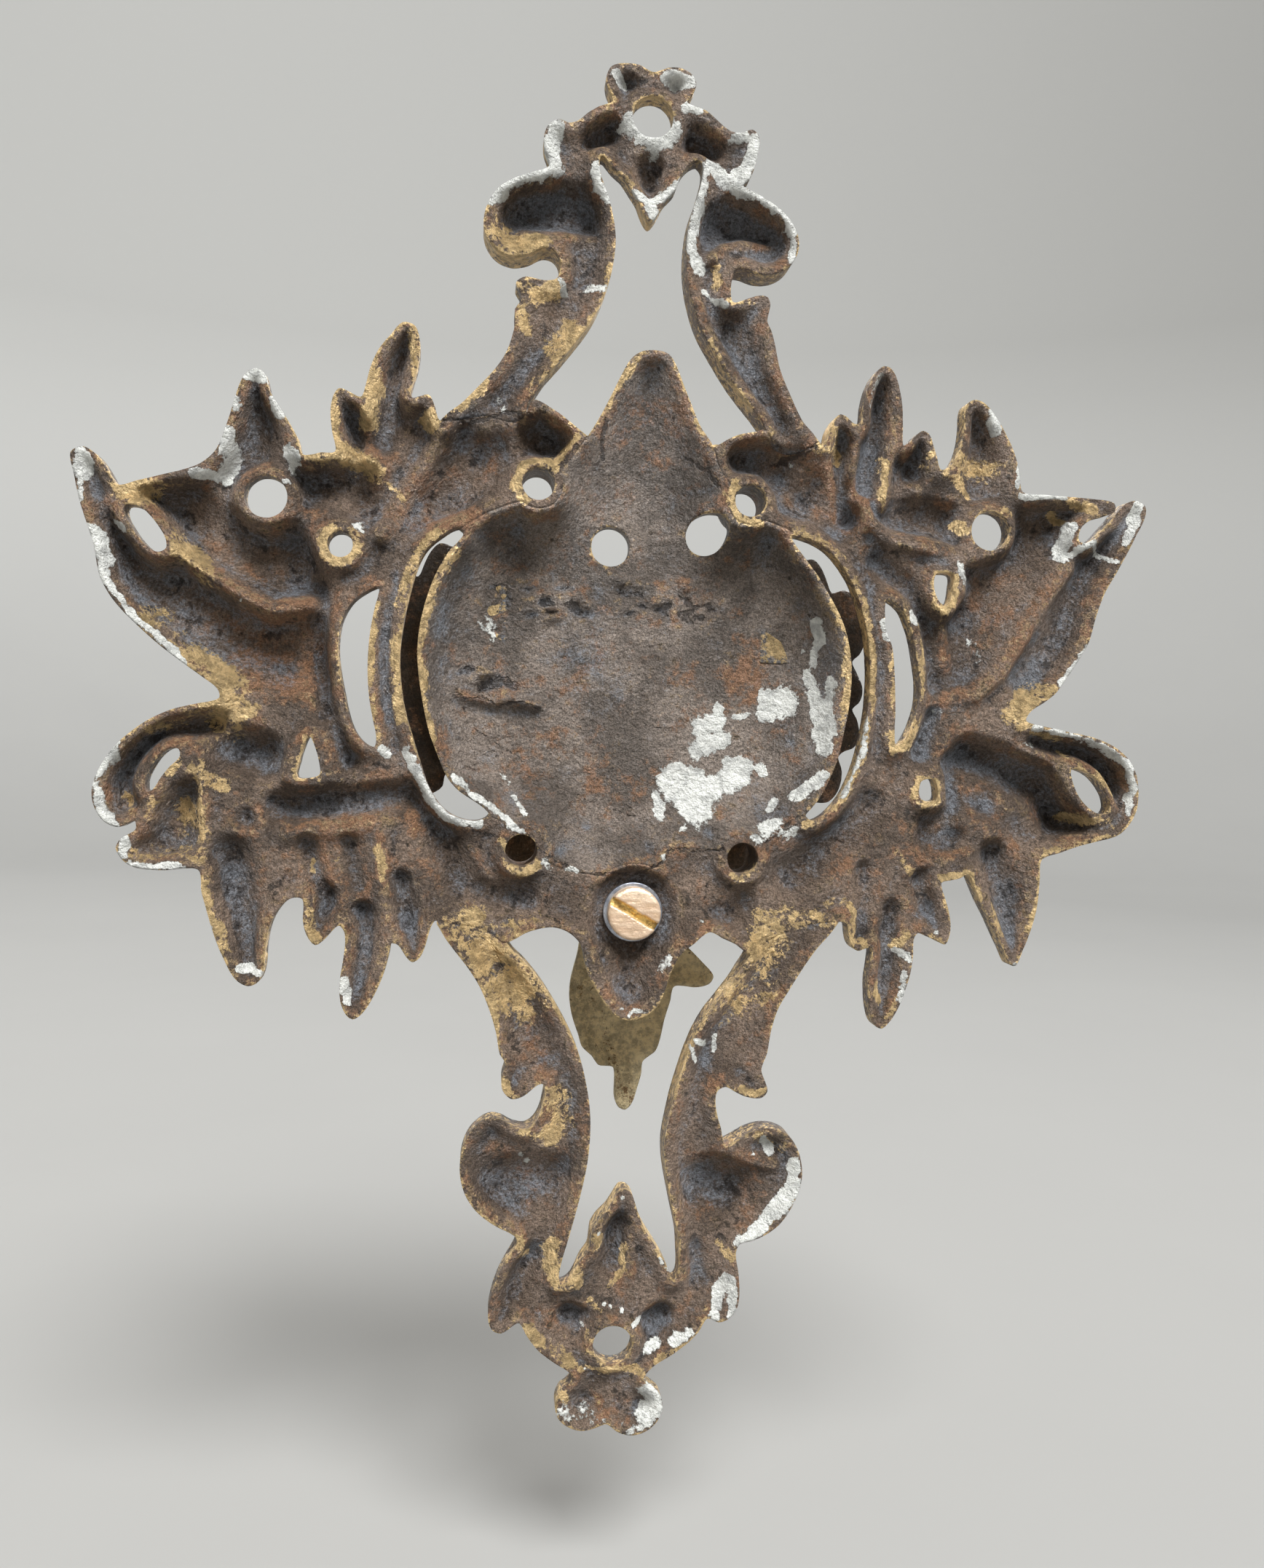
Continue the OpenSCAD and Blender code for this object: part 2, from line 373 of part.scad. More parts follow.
// ---- Fixed parts ----
module backplate() {
    color("saddlebrown")
    stand()
    difference() {
        union() {
            layer(0, sheet_t)
            difference() {
                plate_shape();
                dome_shape();
                slot_shapes();
                for (s = outer_slots) polygon(smooth(s));
                for (p = piercings) polygon(smooth(p));
            }
            for (b = bosses) post(b, boss_d, 0, boss_h);
            post(screw_at, stud_pad_d, 0, stud_floor);
        }
        for (b = bosses) post(b, boss_bore, -past, deep);
        post(left_hole, fixing_d, -past, deep);
        post(right_hole, fixing_d, -past, deep);
        post(left_eyelet, left_eyelet_d, -past, deep);
        post(screw_at, pocket_d, -past, pocket_depth);
        post(screw_at, screw_d + screw_clear, -past, deep);
    }
}
module ear(u) {
    across(u, u + ear_t, barrel_d);
    translate([u, hinge_v - barrel_d / 2, sheet_t])
    cube([ear_t, barrel_d, hinge_w - sheet_t]);
}
module cartouche_dome() {
    color("sienna")
    stand()
    difference() {
        union() {
            layer(0, sheet_t)
            dome_sheet();
            intersection() {
                layer(0, dome_depth + dome_wall + past)
                dome_sheet();
                dish(dome_wall);
            }
            ear(ear_inner);
            ear(-ear_reach);
        }
        dish(0);
        for (h = dome_holes) post(h, dome_hole_d, -past, deep);
        across(-ear_reach - past, ear_reach + past, pin_d + 2 * pin_clear);
    }
}
// A crest's outline, cut where it is brazed to the plate.
module crest_shape(pts) {
    difference() {
        polygon(smooth(pts));
        plate_shape();
    }
}
module arm_band(heights) {
    translate([-plate_w / 2, heights[0]])
    square([plate_w, heights[1] - heights[0]]);
}
module crest(pts, arms, hole) {
    color("peru")
    stand()
    difference() {
        union() {
            layer(0, sheet_t)
            crest_shape(pts);
            layer(0, arm_t)
            intersection() {
                crest_shape(pts);
                arm_band(arms);
            }
        }
        post(hole, fixing_d, -past, deep);
    }
}
module crest_upper() {
    crest(concat(crest_upper_outer, crest_upper_inner), upper_arms, top_hole);
}
module crest_lower() {
    crest(concat(crest_lower_outer, crest_lower_inner), lower_arms, bottom_hole);
}
module strike_stud() {
    color("darkgoldenrod")
    stand()
    difference() {
        post(screw_at, stud_d, stud_floor, stud_face);
        post(screw_at, screw_d, stud_floor - past, stud_face - stud_end_wall);
    }
}
module stud_screw() {
    head_near = pocket_depth - washer_t - head_h;
    color("tan")
    stand()
    difference() {
        union() {
            post(screw_at, head_d, head_near, head_near + head_h);
            post(screw_at, screw_d, head_near, stud_face - stud_end_wall);
        }
        translate([screw_at[0], screw_at[1], head_near - past])
        rotate([0, 0, slot_turn])
        translate([-head_d, -slot_w / 2, 0])
        cube([2 * head_d, slot_w, slot_depth + past]);
    }
}
module stud_washer() {
    color("silver")
    stand()
    difference() {
        post(screw_at, washer_d, pocket_depth - washer_t, pocket_depth);
        post(screw_at, screw_d + washer_clear, 0, deep);
    }
}
module hinge_pin() {
    color("dimgray")
    stand()
    across(-pin_reach, pin_reach, pin_d);
}
module pin_cap(side) {
    neck_end = cap_base + cap_rim + cap_neck;
    stand()
    rotate([0, side < 0 ? 180 : 0, 0])
    translate([0, 0, side < 0 ? -2 * hinge_w : 0])
    difference() {
        union() {
            across(cap_base, cap_base + cap_rim, cap_d);
            across(cap_base + cap_rim, neck_end, cap_neck_d);
            across_ball(neck_end + cap_ball_d / 2 - cap_ball_sink, cap_ball_d);
        }
        across(cap_base - past, pin_reach, pin_d);
    }
}
module pin_cap_left() {
    color("goldenrod")
    pin_cap(1);
}
module pin_cap_right() {
    color("goldenrod")
    pin_cap(-1);
}

// ---- Moving parts ----
module knocker_ring() {
    half = barrel_len / 2;
    color("darkslategray")
    stand()
    difference() {
        union() {
            layer(knocker_back, knocker_back + knocker_t)
            difference() {
                polygon(smooth(knocker_outline));
                polygon(smooth(knocker_window));
                for (r = rivet_at) translate(r) circle(d = rivet_d);
            }
            translate([-half, web_v, knocker_back])
            cube([barrel_len, hinge_v - web_v, knocker_t]);
            across(-half, half, barrel_d);
        }
        across(-half - past, half + past, pin_d + 2 * pin_clear);
    }
}
module acanthus_leaf() {
    front = knocker_back + knocker_t;
    color("gold")
    stand()
    layer(front, front + leaf_t)
    difference() {
        polygon(smooth(leaf_outline));
        for (r = rivet_at) translate(r) circle(d = rivet_d);
    }
}
module leaf_rivets() {
    front = knocker_back + knocker_t + leaf_t;
    color("goldenrod")
    stand()
    for (r = rivet_at) {
        post(r, rivet_d, knocker_back, front);
        post(r, rivet_head_d, front, front + rivet_head_h);
    }
}
module striker_pad() {
    color("darkgoldenrod")
    stand()
    post(screw_at, pad_d, stud_face + nip, knocker_back);
}

backplate();
cartouche_dome();
crest_upper();
crest_lower();
strike_stud();
stud_screw();
stud_washer();
hinge_pin();
pin_cap_left();
pin_cap_right();
knocker_ring();
acanthus_leaf();
leaf_rivets();
striker_pad();
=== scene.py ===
"""Looks of a cast rococo door knocker, seen from behind as it comes off a door.

Places are given as (u, v) in millimetres on the back plane, u to the right and v up as seen
from behind, and depths run forward from the back plane towards the front of the object.
"""
import bmesh
import bpy
import math
import numpy as np
from mathutils import Matrix, Vector
from mathutils.geometry import delaunay_2d_cdt
from mathutils.kdtree import KDTree


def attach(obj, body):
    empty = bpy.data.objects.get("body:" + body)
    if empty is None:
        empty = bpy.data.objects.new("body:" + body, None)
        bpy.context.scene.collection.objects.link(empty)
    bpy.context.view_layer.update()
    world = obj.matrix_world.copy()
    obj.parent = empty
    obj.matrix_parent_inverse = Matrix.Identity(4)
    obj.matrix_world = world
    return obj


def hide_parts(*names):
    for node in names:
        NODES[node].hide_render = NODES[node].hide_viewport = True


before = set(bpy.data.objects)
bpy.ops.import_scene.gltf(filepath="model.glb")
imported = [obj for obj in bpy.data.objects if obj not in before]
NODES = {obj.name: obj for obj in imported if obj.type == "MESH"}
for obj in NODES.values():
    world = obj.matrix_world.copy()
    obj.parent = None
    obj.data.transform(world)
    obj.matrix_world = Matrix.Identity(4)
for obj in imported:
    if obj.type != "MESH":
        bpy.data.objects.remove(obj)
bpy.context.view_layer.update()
DATUM_U, DATUM_V = -0.35, 42.3
PITCH = 0.55


# ---------------------------------------------------------------- places and outlines

def to_row(u, v, d):
    """Places on the back plane and depths, as points of the row frame in metres."""
    return np.stack([-(u - DATUM_U), -d, v - DATUM_V], 1) / 1000.0


def node_mesh(name):
    """Welded corners of a CAD node as (u, v, depth), and its triangles."""
    per_mm = 500
    mesh = NODES[name].data
    mesh.calc_loop_triangles()
    co = np.empty(len(mesh.vertices) * 3, np.float32)
    mesh.vertices.foreach_get("co", co)
    co = co.reshape(-1, 3).astype(float) * 1000
    tri = np.empty(len(mesh.loop_triangles) * 3, np.int32)
    mesh.loop_triangles.foreach_get("vertices", tri)
    uvd = np.stack([DATUM_U - co[:, 0], co[:, 2] + DATUM_V, -co[:, 1]], 1)
    _, first, which = np.unique(np.round(uvd * per_mm).astype(np.int64), axis=0,
                                return_index=True, return_inverse=True)
    return uvd[first], which.reshape(-1)[tri].reshape(-1, 3)


def face_loops(name, depth_at):
    """Closed edges of the face whose corners all lie at the depth that depth_at gives."""
    close = 0.03
    at, tri = node_mesh(name)
    on = np.abs(at[:, 2] - depth_at(at[:, :2])) < close
    flat = tri[on[tri].all(1)]
    count = {}
    for a, b, c in flat:
        for e in ((a, b), (b, c), (c, a)):
            k = (min(e), max(e))
            count[k] = count.get(k, 0) + 1
    ways = {}
    for (a, b), n in count.items():
        if n == 1:
            ways.setdefault(a, []).append(b)
            ways.setdefault(b, []).append(a)
    loops = []
    left = set(ways)
    while left:
        start = min(left)
        loop, last, now = [start], None, start
        while True:
            left.discard(now)
            step = [w for w in ways[now] if w != last and (w in left or w == start)]
            if not step or step[0] == start:
                break
            last, now = now, step[0]
            loop.append(now)
        if len(loop) > 5:
            loops.append(at[loop][:, :2])
    return loops


def level(depth):
    """A face that lies flat at one depth."""
    return lambda p: np.full(len(p), depth)


def area(loop):
    x, y = loop[:, 0], loop[:, 1]
    return 0.5 * float(np.sum(x * np.roll(y, -1) - y * np.roll(x, -1)))


def respace(loop, gap):
    """The same closed line with even gaps, rounded through its points by a cubic spline."""
    p = np.roll(loop, 1, 0)
    n1 = np.roll(loop, -1, 0)
    n2 = np.roll(loop, -2, 0)
    length = np.linalg.norm(n1 - loop, axis=1)
    out = []
    for i in range(len(loop)):
        steps = max(1, int(round(length[i] / gap)))
        m0 = (n1[i] - p[i]) / max(np.linalg.norm(n1[i] - p[i]), 1e-6) * length[i]
        m1 = (n2[i] - loop[i]) / max(np.linalg.norm(n2[i] - loop[i]), 1e-6) * length[i]
        for k in range(steps):
            t = k / steps
            h = (2 * t ** 3 - 3 * t ** 2 + 1, t ** 3 - 2 * t ** 2 + t,
                 -2 * t ** 3 + 3 * t ** 2, t ** 3 - t ** 2)
            out.append(h[0] * loop[i] + h[1] * m0 + h[2] * n1[i] + h[3] * m1)
    return np.array(out)


def inside(points, loops):
    """True where a point lies inside an odd number of the loops."""
    batch, flat = 4000, 1e-12
    hit = np.zeros(len(points), bool)
    for a in loops:
        b = np.roll(a, -1, 0)
        rise = b[:, 1] - a[:, 1]
        dy = np.where(np.abs(rise) < flat, flat, rise)
        for s in range(0, len(points), batch):
            x, y = points[s:s + batch, 0, None], points[s:s + batch, 1, None]
            cross = (a[:, 1] > y) != (b[:, 1] > y)
            xi = a[:, 0] + (y - a[:, 1]) / dy * (b[:, 0] - a[:, 0])
            hit[s:s + batch] ^= (np.sum(cross & (x < xi), 1) % 2).astype(bool)
    return hit


def nearest(points, samples):
    """Distance of each point to the nearest sample."""
    tree = KDTree(len(samples))
    for i, s in enumerate(samples):
        tree.insert((s[0], s[1], 0), i)
    tree.balance()
    return np.array([tree.find((p[0], p[1], 0))[2] for p in points])


def ring(at, radius, steps=40):
    a = np.linspace(0, 2 * math.pi, steps, endpoint=False)
    return np.stack([at[0] + radius * np.cos(a), at[1] + radius * np.sin(a)], 1)


def stroke_distance(points, line):
    """Distance of each point to an open line through u1, v1, u2, v2 and so on."""
    line = np.array(line, float).reshape(-1, 2)
    if len(line) == 1:
        return np.linalg.norm(points - line[0], axis=1)
    best = np.full(len(points), 1e9)
    for a, b in zip(line[:-1], line[1:]):
        ab = b - a
        t = np.clip(((points - a) @ ab) / max(ab @ ab, 1e-9), 0, 1)
        best = np.minimum(best, np.linalg.norm(points - a - t[:, None] * ab, axis=1))
    return best


def bump(x):
    """1 at x = 0, falling to 0 at x = 1."""
    x = np.clip(x, 0, 1)
    return (1 - x * x) ** 2


def smoothstep(x):
    x = np.clip(x, 0, 1)
    return x * x * (3 - 2 * x)


def quarter_round(x):
    """0 at an edge and 1 from x = 1 on, as a circle rises."""
    return np.sqrt(np.clip(1 - (1 - np.minimum(x, 1)) ** 2, 0, 1))


def disc(points, at, radius, fade):
    """1 on a round place, fading to 0 at its radius."""
    return smoothstep((radius - np.linalg.norm(points - at, axis=1)) / fade)


def carved(depth, points, strokes):
    """The depth with strokes added, each (height, radius, u1, v1, u2, v2, ...)."""
    for h, r, *line in strokes:
        depth = depth + h * bump(stroke_distance(points, line) / r)
    return depth


class Noise:
    """Seeded value noise on the (u, v) plane, -1 to 1."""
    size, shift, octave_shift = 256, 400, 31.7

    def __init__(self, seed):
        self.grid = np.random.default_rng(seed).uniform(-1, 1, (self.size, self.size))

    def __call__(self, points, scale, octaves=3):
        total, weight, out = np.zeros(len(points)), 0, 1.0
        for k in range(octaves):
            q = points / scale * 2 ** k + self.octave_shift * k + self.shift
            i = np.floor(q).astype(int)
            f = smoothstep(q - i)
            g = self.grid
            x0, y0 = i[:, 0] % self.size, i[:, 1] % self.size
            x1, y1 = (x0 + 1) % self.size, (y0 + 1) % self.size
            low = g[x0, y0] * (1 - f[:, 0]) + g[x1, y0] * f[:, 0]
            high = g[x0, y1] * (1 - f[:, 0]) + g[x1, y1] * f[:, 0]
            total += (low * (1 - f[:, 1]) + high * f[:, 1]) * out
            weight += out
            out *= 0.5
        return total / weight


noise_a, noise_b = Noise(7), Noise(19)

# ---------------------------------------------------------------- relief of the casting
# A stroke is (depth, radius, u1, v1, u2, v2, ...). Positive depth hollows the back.
STROKES = [
    # left spray, upper leaves
    (4.6, 9.5, -92, 33, -84, 26, -76, 19, -66, 15, -59, 14),
    (-3.4, 3.2, -89, 34, -84, 32, -79, 28.5, -73, 24.5, -67, 21.8, -61, 23.5),
    (4.6, 8.5, -86, 40, -78, 37, -70, 33, -65, 30), (3, 6.5, -73, 46, -71, 54, -70.5, 59),
    (3.6, 6, -62, 45, -54, 45.5, -49, 42), (2.4, 4.5, -62, 27, -64, 36),
    (1.2, 2.6, -99, 46, -97, 38, -94, 34), (-1.4, 2.6, -96, 40, -93, 35), (3.4, 4.2, -54.5, 57, -52, 54),
    (3.6, 4, -45, 71, -45.5, 65, -46, 60, -48, 54), (-2.2, 2.4, -50, 61, -51, 56, -50, 50),
    (3, 6, -41, 56, -42, 50, -44, 46), (-2.6, 3.2, -37, 56, -42, 47, -46, 41, -48, 37),
    (3.4, 6, -33, 53, -37, 47, -42, 41), (3.2, 5.5, -27, 53, -31, 47, -36, 43),
    (5, 6.2, -19, 55.4, -16, 56), (-1.6, 2.2, -12.5, 55.5, -15, 51),
    # bands beside the dish
    (1.8, 1.9, -47.6, 26, -47.2, 15, -46.5, 4, -45.5, -2), (1.8, 1.9, 46.6, 26, 47, 16, 47.4, 6, 47, 0),
    (2.6, 3.4, -59, 26, -58.5, 12, -56.5, 2, -53.5, -4), (2.4, 3.6, 46, 36, 54, 30, 57.5, 20, 58, 8, 56, 0),
    # left spray, lower leaves
    (4.6, 3.8, -78, 2, -86, 0, -91.5, -4, -93.8, -9, -93, -14), (4.4, 6, -73, -3, -69, -4),
    (-1.8, 2.4, -79, -3, -80, -6.5, -85, -12.5, -88.5, -15.5), (3.8, 6, -84, -12, -83, -18, -86, -20),
    (-1.6, 2, -78.8, -6, -78.8, -24), (2.4, 3, -71.5, -15.6), (-.8, 4.2, -71.5, -15.6),
    (3.4, 5.4, -74, -23, -73, -28, -71.5, -36, -70.5, -42),
    (3, 4, -66, -13.5, -57, -13, -48, -11.5, -42, -11), (-1.6, 3, -64, -18, -54, -17, -46, -16),
    (3.6, 3.6, -57.5, -30, -57.5, -35), (1.8, 2.6, -60.5, -20, -58.5, -27),
    (3.2, 3.4, -50.5, -33, -50.5, -39, -51.5, -48), (1.6, 2.4, -53, -20, -51.5, -28),
    (2.4, 3.2, -43.5, -27, -42, -33, -41.2, -38.5), (-1.4, 2.2, -47, -19, -46.5, -28, -45.5, -35),
    (3, 5, -38, -12, -36, -20, -32, -27), (2.2, 3.8, -28, -29, -20, -30), (-2, 1.7, -63.5, -3, -64, -8),
    (-2.2, 2.2, -57, 2, -56, -4, -55.5, -8),
    # right spray, upper leaves
    (3.8, 3.2, 45.4, 69, 45, 62, 44, 56, 42.5, 50), (-2.2, 1.9, 47.6, 60, 46.6, 52, 46.6, 46),
    (-1.4, 1.9, 41, 60, 40.5, 52, 43, 45), (3, 2.6, 37.5, 59, 38.5, 52, 40.5, 44),
    (3.4, 3, 53.6, 57.5, 53, 53.5), (1.4, 3, 50.5, 56, 51, 48), (2.6, 4.4, 64.5, 62, 66, 54, 66, 50),
    (3.6, 5.4, 49, 44, 56, 45, 62, 43), (-2.4, 3, 44, 43, 52, 39.5, 60, 38, 65, 37),
    (3.4, 5.6, 33, 49, 38, 43), (4.2, 5.8, 19, 54.5, 27, 52.5), (2.6, 5, 30, 46, 26, 48.5),
    (3.8, 7.5, 82, 45, 76, 41, 70, 34, 67, 27), (3.4, 6, 63, 25, 65, 16, 62, 12),
    (-2.6, 3, 84, 36, 80, 31, 76, 24, 71, 15.5, 66, 11, 58, 9.5),
    (2.8, 5.2, 92, 40, 87, 30, 83, 21, 77, 14), (-1.2, 1.8, 59, 27, 60, 23),
    (-2, 2.2, 61, 36, 63, 30, 61, 26),
    # right spray, lower leaves
    (5.4, 6.4, 66, -2, 74, -4, 82, -8, 87, -13), (2.2, 4.4, 64, -8, 70, -10),
    (4.6, 3.4, 80, 3, 88, 1, 94, -2.5, 97, -8), (-1.6, 2, 76, 0, 82, -2, 86, -8, 91, -14),
    (1.8, 3.4, 62, -3, 63, -12, 58, -13.5), (2.4, 4, 58, -17, 62, -17), (-1.4, 3.6, 66, -14, 70, -16),
    (2.4, 6, 78, -15, 87, -15), (3.4, 4.6, 72, -21, 74.5, -29, 75.5, -37), (2.6, 4, 59, -30, 57, -25),
    (-1.4, 2.2, 66, -20, 61, -22, 54, -24), (2.2, 3.6, 50, -47, 50.5, -40, 51, -32),
    (-1, 2, 53.4, -30, 51.6, -40, 50.5, -50), (2, 3, 44.5, -36, 46, -30, 45, -24),
    (2.8, 5.5, 46, -12, 42, -17, 37, -21, 31, -25), (2, 4, 22, -31, 17, -33),
    # upper crest
    (4.4, 7, -24, 97, -16, 98, -11.5, 97), (-1.6, 2.4, -23, 93, -17, 93, -11, 93),
    (1.2, 4, -11.5, 90, -12.5, 85), (4.4, 6.4, 12.5, 97, 18, 98, 23.5, 95.5),
    (-2.2, 2.2, 12, 90.5, 14.5, 93.3, 19, 94.6, 24, 94.4), (1, 4, -15, 80, -20, 71, -27, 63),
    (1.4, 5, 14, 80, 20, 70, 26, 62), (-1.5, 1.6, 9, 82, 12, 76, 16, 70, 21, 63),
    (3.4, 3.2, -8, 112.6, -11, 111), (3.4, 3.2, 8, 111.6, 11, 111), (2.6, 3.4, 0, 103.8, 0, 106),
    (1.6, 2, -4.5, 121.5), (1.6, 2, 4.2, 121.5), (-.8, 2.2, -4, 109, 0, 107.8, 4, 109),
    # lower crest
    (1, 4.5, -27, -40, -21, -50, -16, -60), (1, 4.5, 28, -40, 21, -50, 15, -60),
    (4, 8, -23, -84.5, -15, -84), (3.8, 7.4, 15, -85, 20, -87), (-1.6, 2.6, 22, -79.5, 28, -81),
    (.9, 3.4, 27, -77), (1, 3, -22, -63), (1, 3, 22, -65), (2.2, 4.2, -21, -104, -18, -98),
    (2.2, 3.6, 15, -104, 13, -98), (3.4, 4, -10.5, -110.5, -8, -112), (3.4, 3.8, 5.5, -112.5, 7.5, -111),
    (2.4, 3.6, -2, -92, -2, -100), (-1.2, 1.8, .5, -94, 1, -102), (1.4, 2.6, -7, -127),
    (1.2, 2.4, 3.6, -128),
    # tongue below the dish
    (2.6, 4.6, 0, -40, -.6, -47), (-1.6, 2.2, -9.5, -37, -6.5, -44, -3.5, -50.5),
    (-1.2, 2, 9.5, -37, 6.8, -44, 4.2, -50),
]
# Lumps of the dish's inner face, in the same form.
DISH_STROKES = [
    (-1.1, 1.5, -34.5, 8.6, -27, 7, -23, 7.6, -18, 6.6), (.7, 1.6, -34, 6, -26, 4.6, -19, 4.6),
    (-.7, 2.2, -31, 26, -29, 18, -30, 11), (-.6, 5, -28, 15), (-.8, 3, -17, 24, -10, 27.5),
    (-.7, 1.8, -3, 31, 4, 30, 10, 31), (-.6, 2.2, 30, 30, 27, 24), (.6, 4, -6, 36, 6, 35, 14, 37),
    (-.5, 2, -16, -16, -4, -20, 6, -17), (-.45, 1.4, 18, 18, 19, 10), (-.6, 1.6, 33, 10, 33, -2),
]
# Its fields of wrinkles: (radius, u1, v1, u2, v2, ...).
WRINKLES = [
    (6.5, -25, 27, -12, 26), (6.5, -1, 26.5, 14, 26), (5, -31, 12, -24, 9),
]
# Raised lips round the holes: (height, width, centre, radius).
LIPS = [(2.2, 1.7, (-55.2, 34.3), 3.4), (1.2, 1.5, (-19.6, 47), 4.0), (1.2, 1.5, (20.3, 45.8), 4.0),
        (2.0, 1.6, (-21.4, -20.8), 4.0), (1.8, 1.6, (20.6, -21.8), 4.0)]
# The arms, which are cast deeper than the leaves.
ARMS = [(-9, 90, -11, 80, -19, 69, -27, 61), (9, 90, 11, 80, 18, 69, 26, 60),
        (-24, 92, -12, 92), (12, 92, 23, 92),
        (-29, -38, -20, -50, -12, -64, -11, -78, -13, -90), (30, -38, 20, -50, 12, -64, 10, -78, 13, -90),
        (-24, -84, -14, -84), (14, -84, 28, -84)]
BOSSES = [(-19.6, 47), (20.3, 45.8), (-21.4, -20.8), (20.6, -21.8)]
DOME_HOLES = [(-5.2, 37.3), (13, 40)]
SCREW = (0.2, -32.6)
SEAT_DEPTH, STUD_FLOOR, POST_DEPTH = 4.62, 8.15, 9.2
DISH_AT, DISH_R, DISH_DEPTH = (0.3, 11.5), 36.0, 10.0


def lens(p):
    """Depth of the CAD dish's inner face, zero outside its rim."""
    sphere = (DISH_R ** 2 + DISH_DEPTH ** 2) / (2 * DISH_DEPTH)
    r2 = ((p - DISH_AT) ** 2).sum(1)
    return np.maximum(np.sqrt(np.maximum(sphere ** 2 - r2, 0)) - (sphere - DISH_DEPTH), 0)


def folds(p):
    """Wrinkles left in the dish by the mould, -0.35 in their furrows and 1 on their crests."""
    fold = 1 - 3.6 * np.abs(noise_b(p * (0.4, 1.0) + 1.6 * noise_a(p, 5.0)[:, None], 2.4, 2))
    return np.clip(fold, -0.35, 1) * np.max([bump(stroke_distance(p, line) / r) for r, *line in WRINKLES], 0)


def bowl(p, wall):
    """Depth of the dish's back, a pan with steep walls that runs up into the tongue."""
    deep = 8.0 - 3.6 * smoothstep((p[:, 1] - 40) / 14)
    wide = 12.0 + 5.0 * smoothstep((4 - p[:, 1]) / 20)
    d = deep * (1 - (1 - np.minimum(wall / wide, 1)) ** 2.3)
    d = carved(d, p, DISH_STROKES) - 1.3 * folds(p)
    return d + (0.28 * noise_a(p, 9.0) + 0.14 * noise_b(p, 3.0)) * smoothstep(wall / 4)


def back_depth(p, edge, wall, in_dome):
    """Depth of the back surface, from the distances to the free edge and to the dish's rim."""
    rim = smoothstep((edge - 0.5) / 3.4)
    d = 0.25 + 1.9 * rim
    for h, r, *line in STROKES:
        d = d + h * bump(stroke_distance(p, line) / r) * (rim if h > 0 else np.sqrt(rim))
    for h, w, at, radius in LIPS:
        lip = ring(at, radius, 24)
        d = d - h * bump(stroke_distance(p, np.vstack([lip, lip[:1]])) / w)
    brow = 0.3 + 1.0 * smoothstep((edge - 0.6) / 4)
    near = smoothstep(1.15 - wall / 3.4)
    d = np.where(in_dome, brow + bowl(p, np.maximum(wall - 0.7, 0)), d * (1 - near) + brow * near)
    seat = disc(p, SCREW, 9.4, 3.0)
    d = d * (1 - seat) + SEAT_DEPTH * seat
    d = d + 0.16 * noise_a(p, 6.0) + 0.08 * noise_b(p, 2.2)
    return np.maximum(d, 0.12)


def front_edge_depth(p):
    """Depth of the front face's edge: the arms are deep castings, the leaves thin ones."""
    arm = np.max([bump(stroke_distance(p, line) / 15.0) for line in ARMS], 0)
    return 3.6 + 2.4 * smoothstep(arm * 1.6)


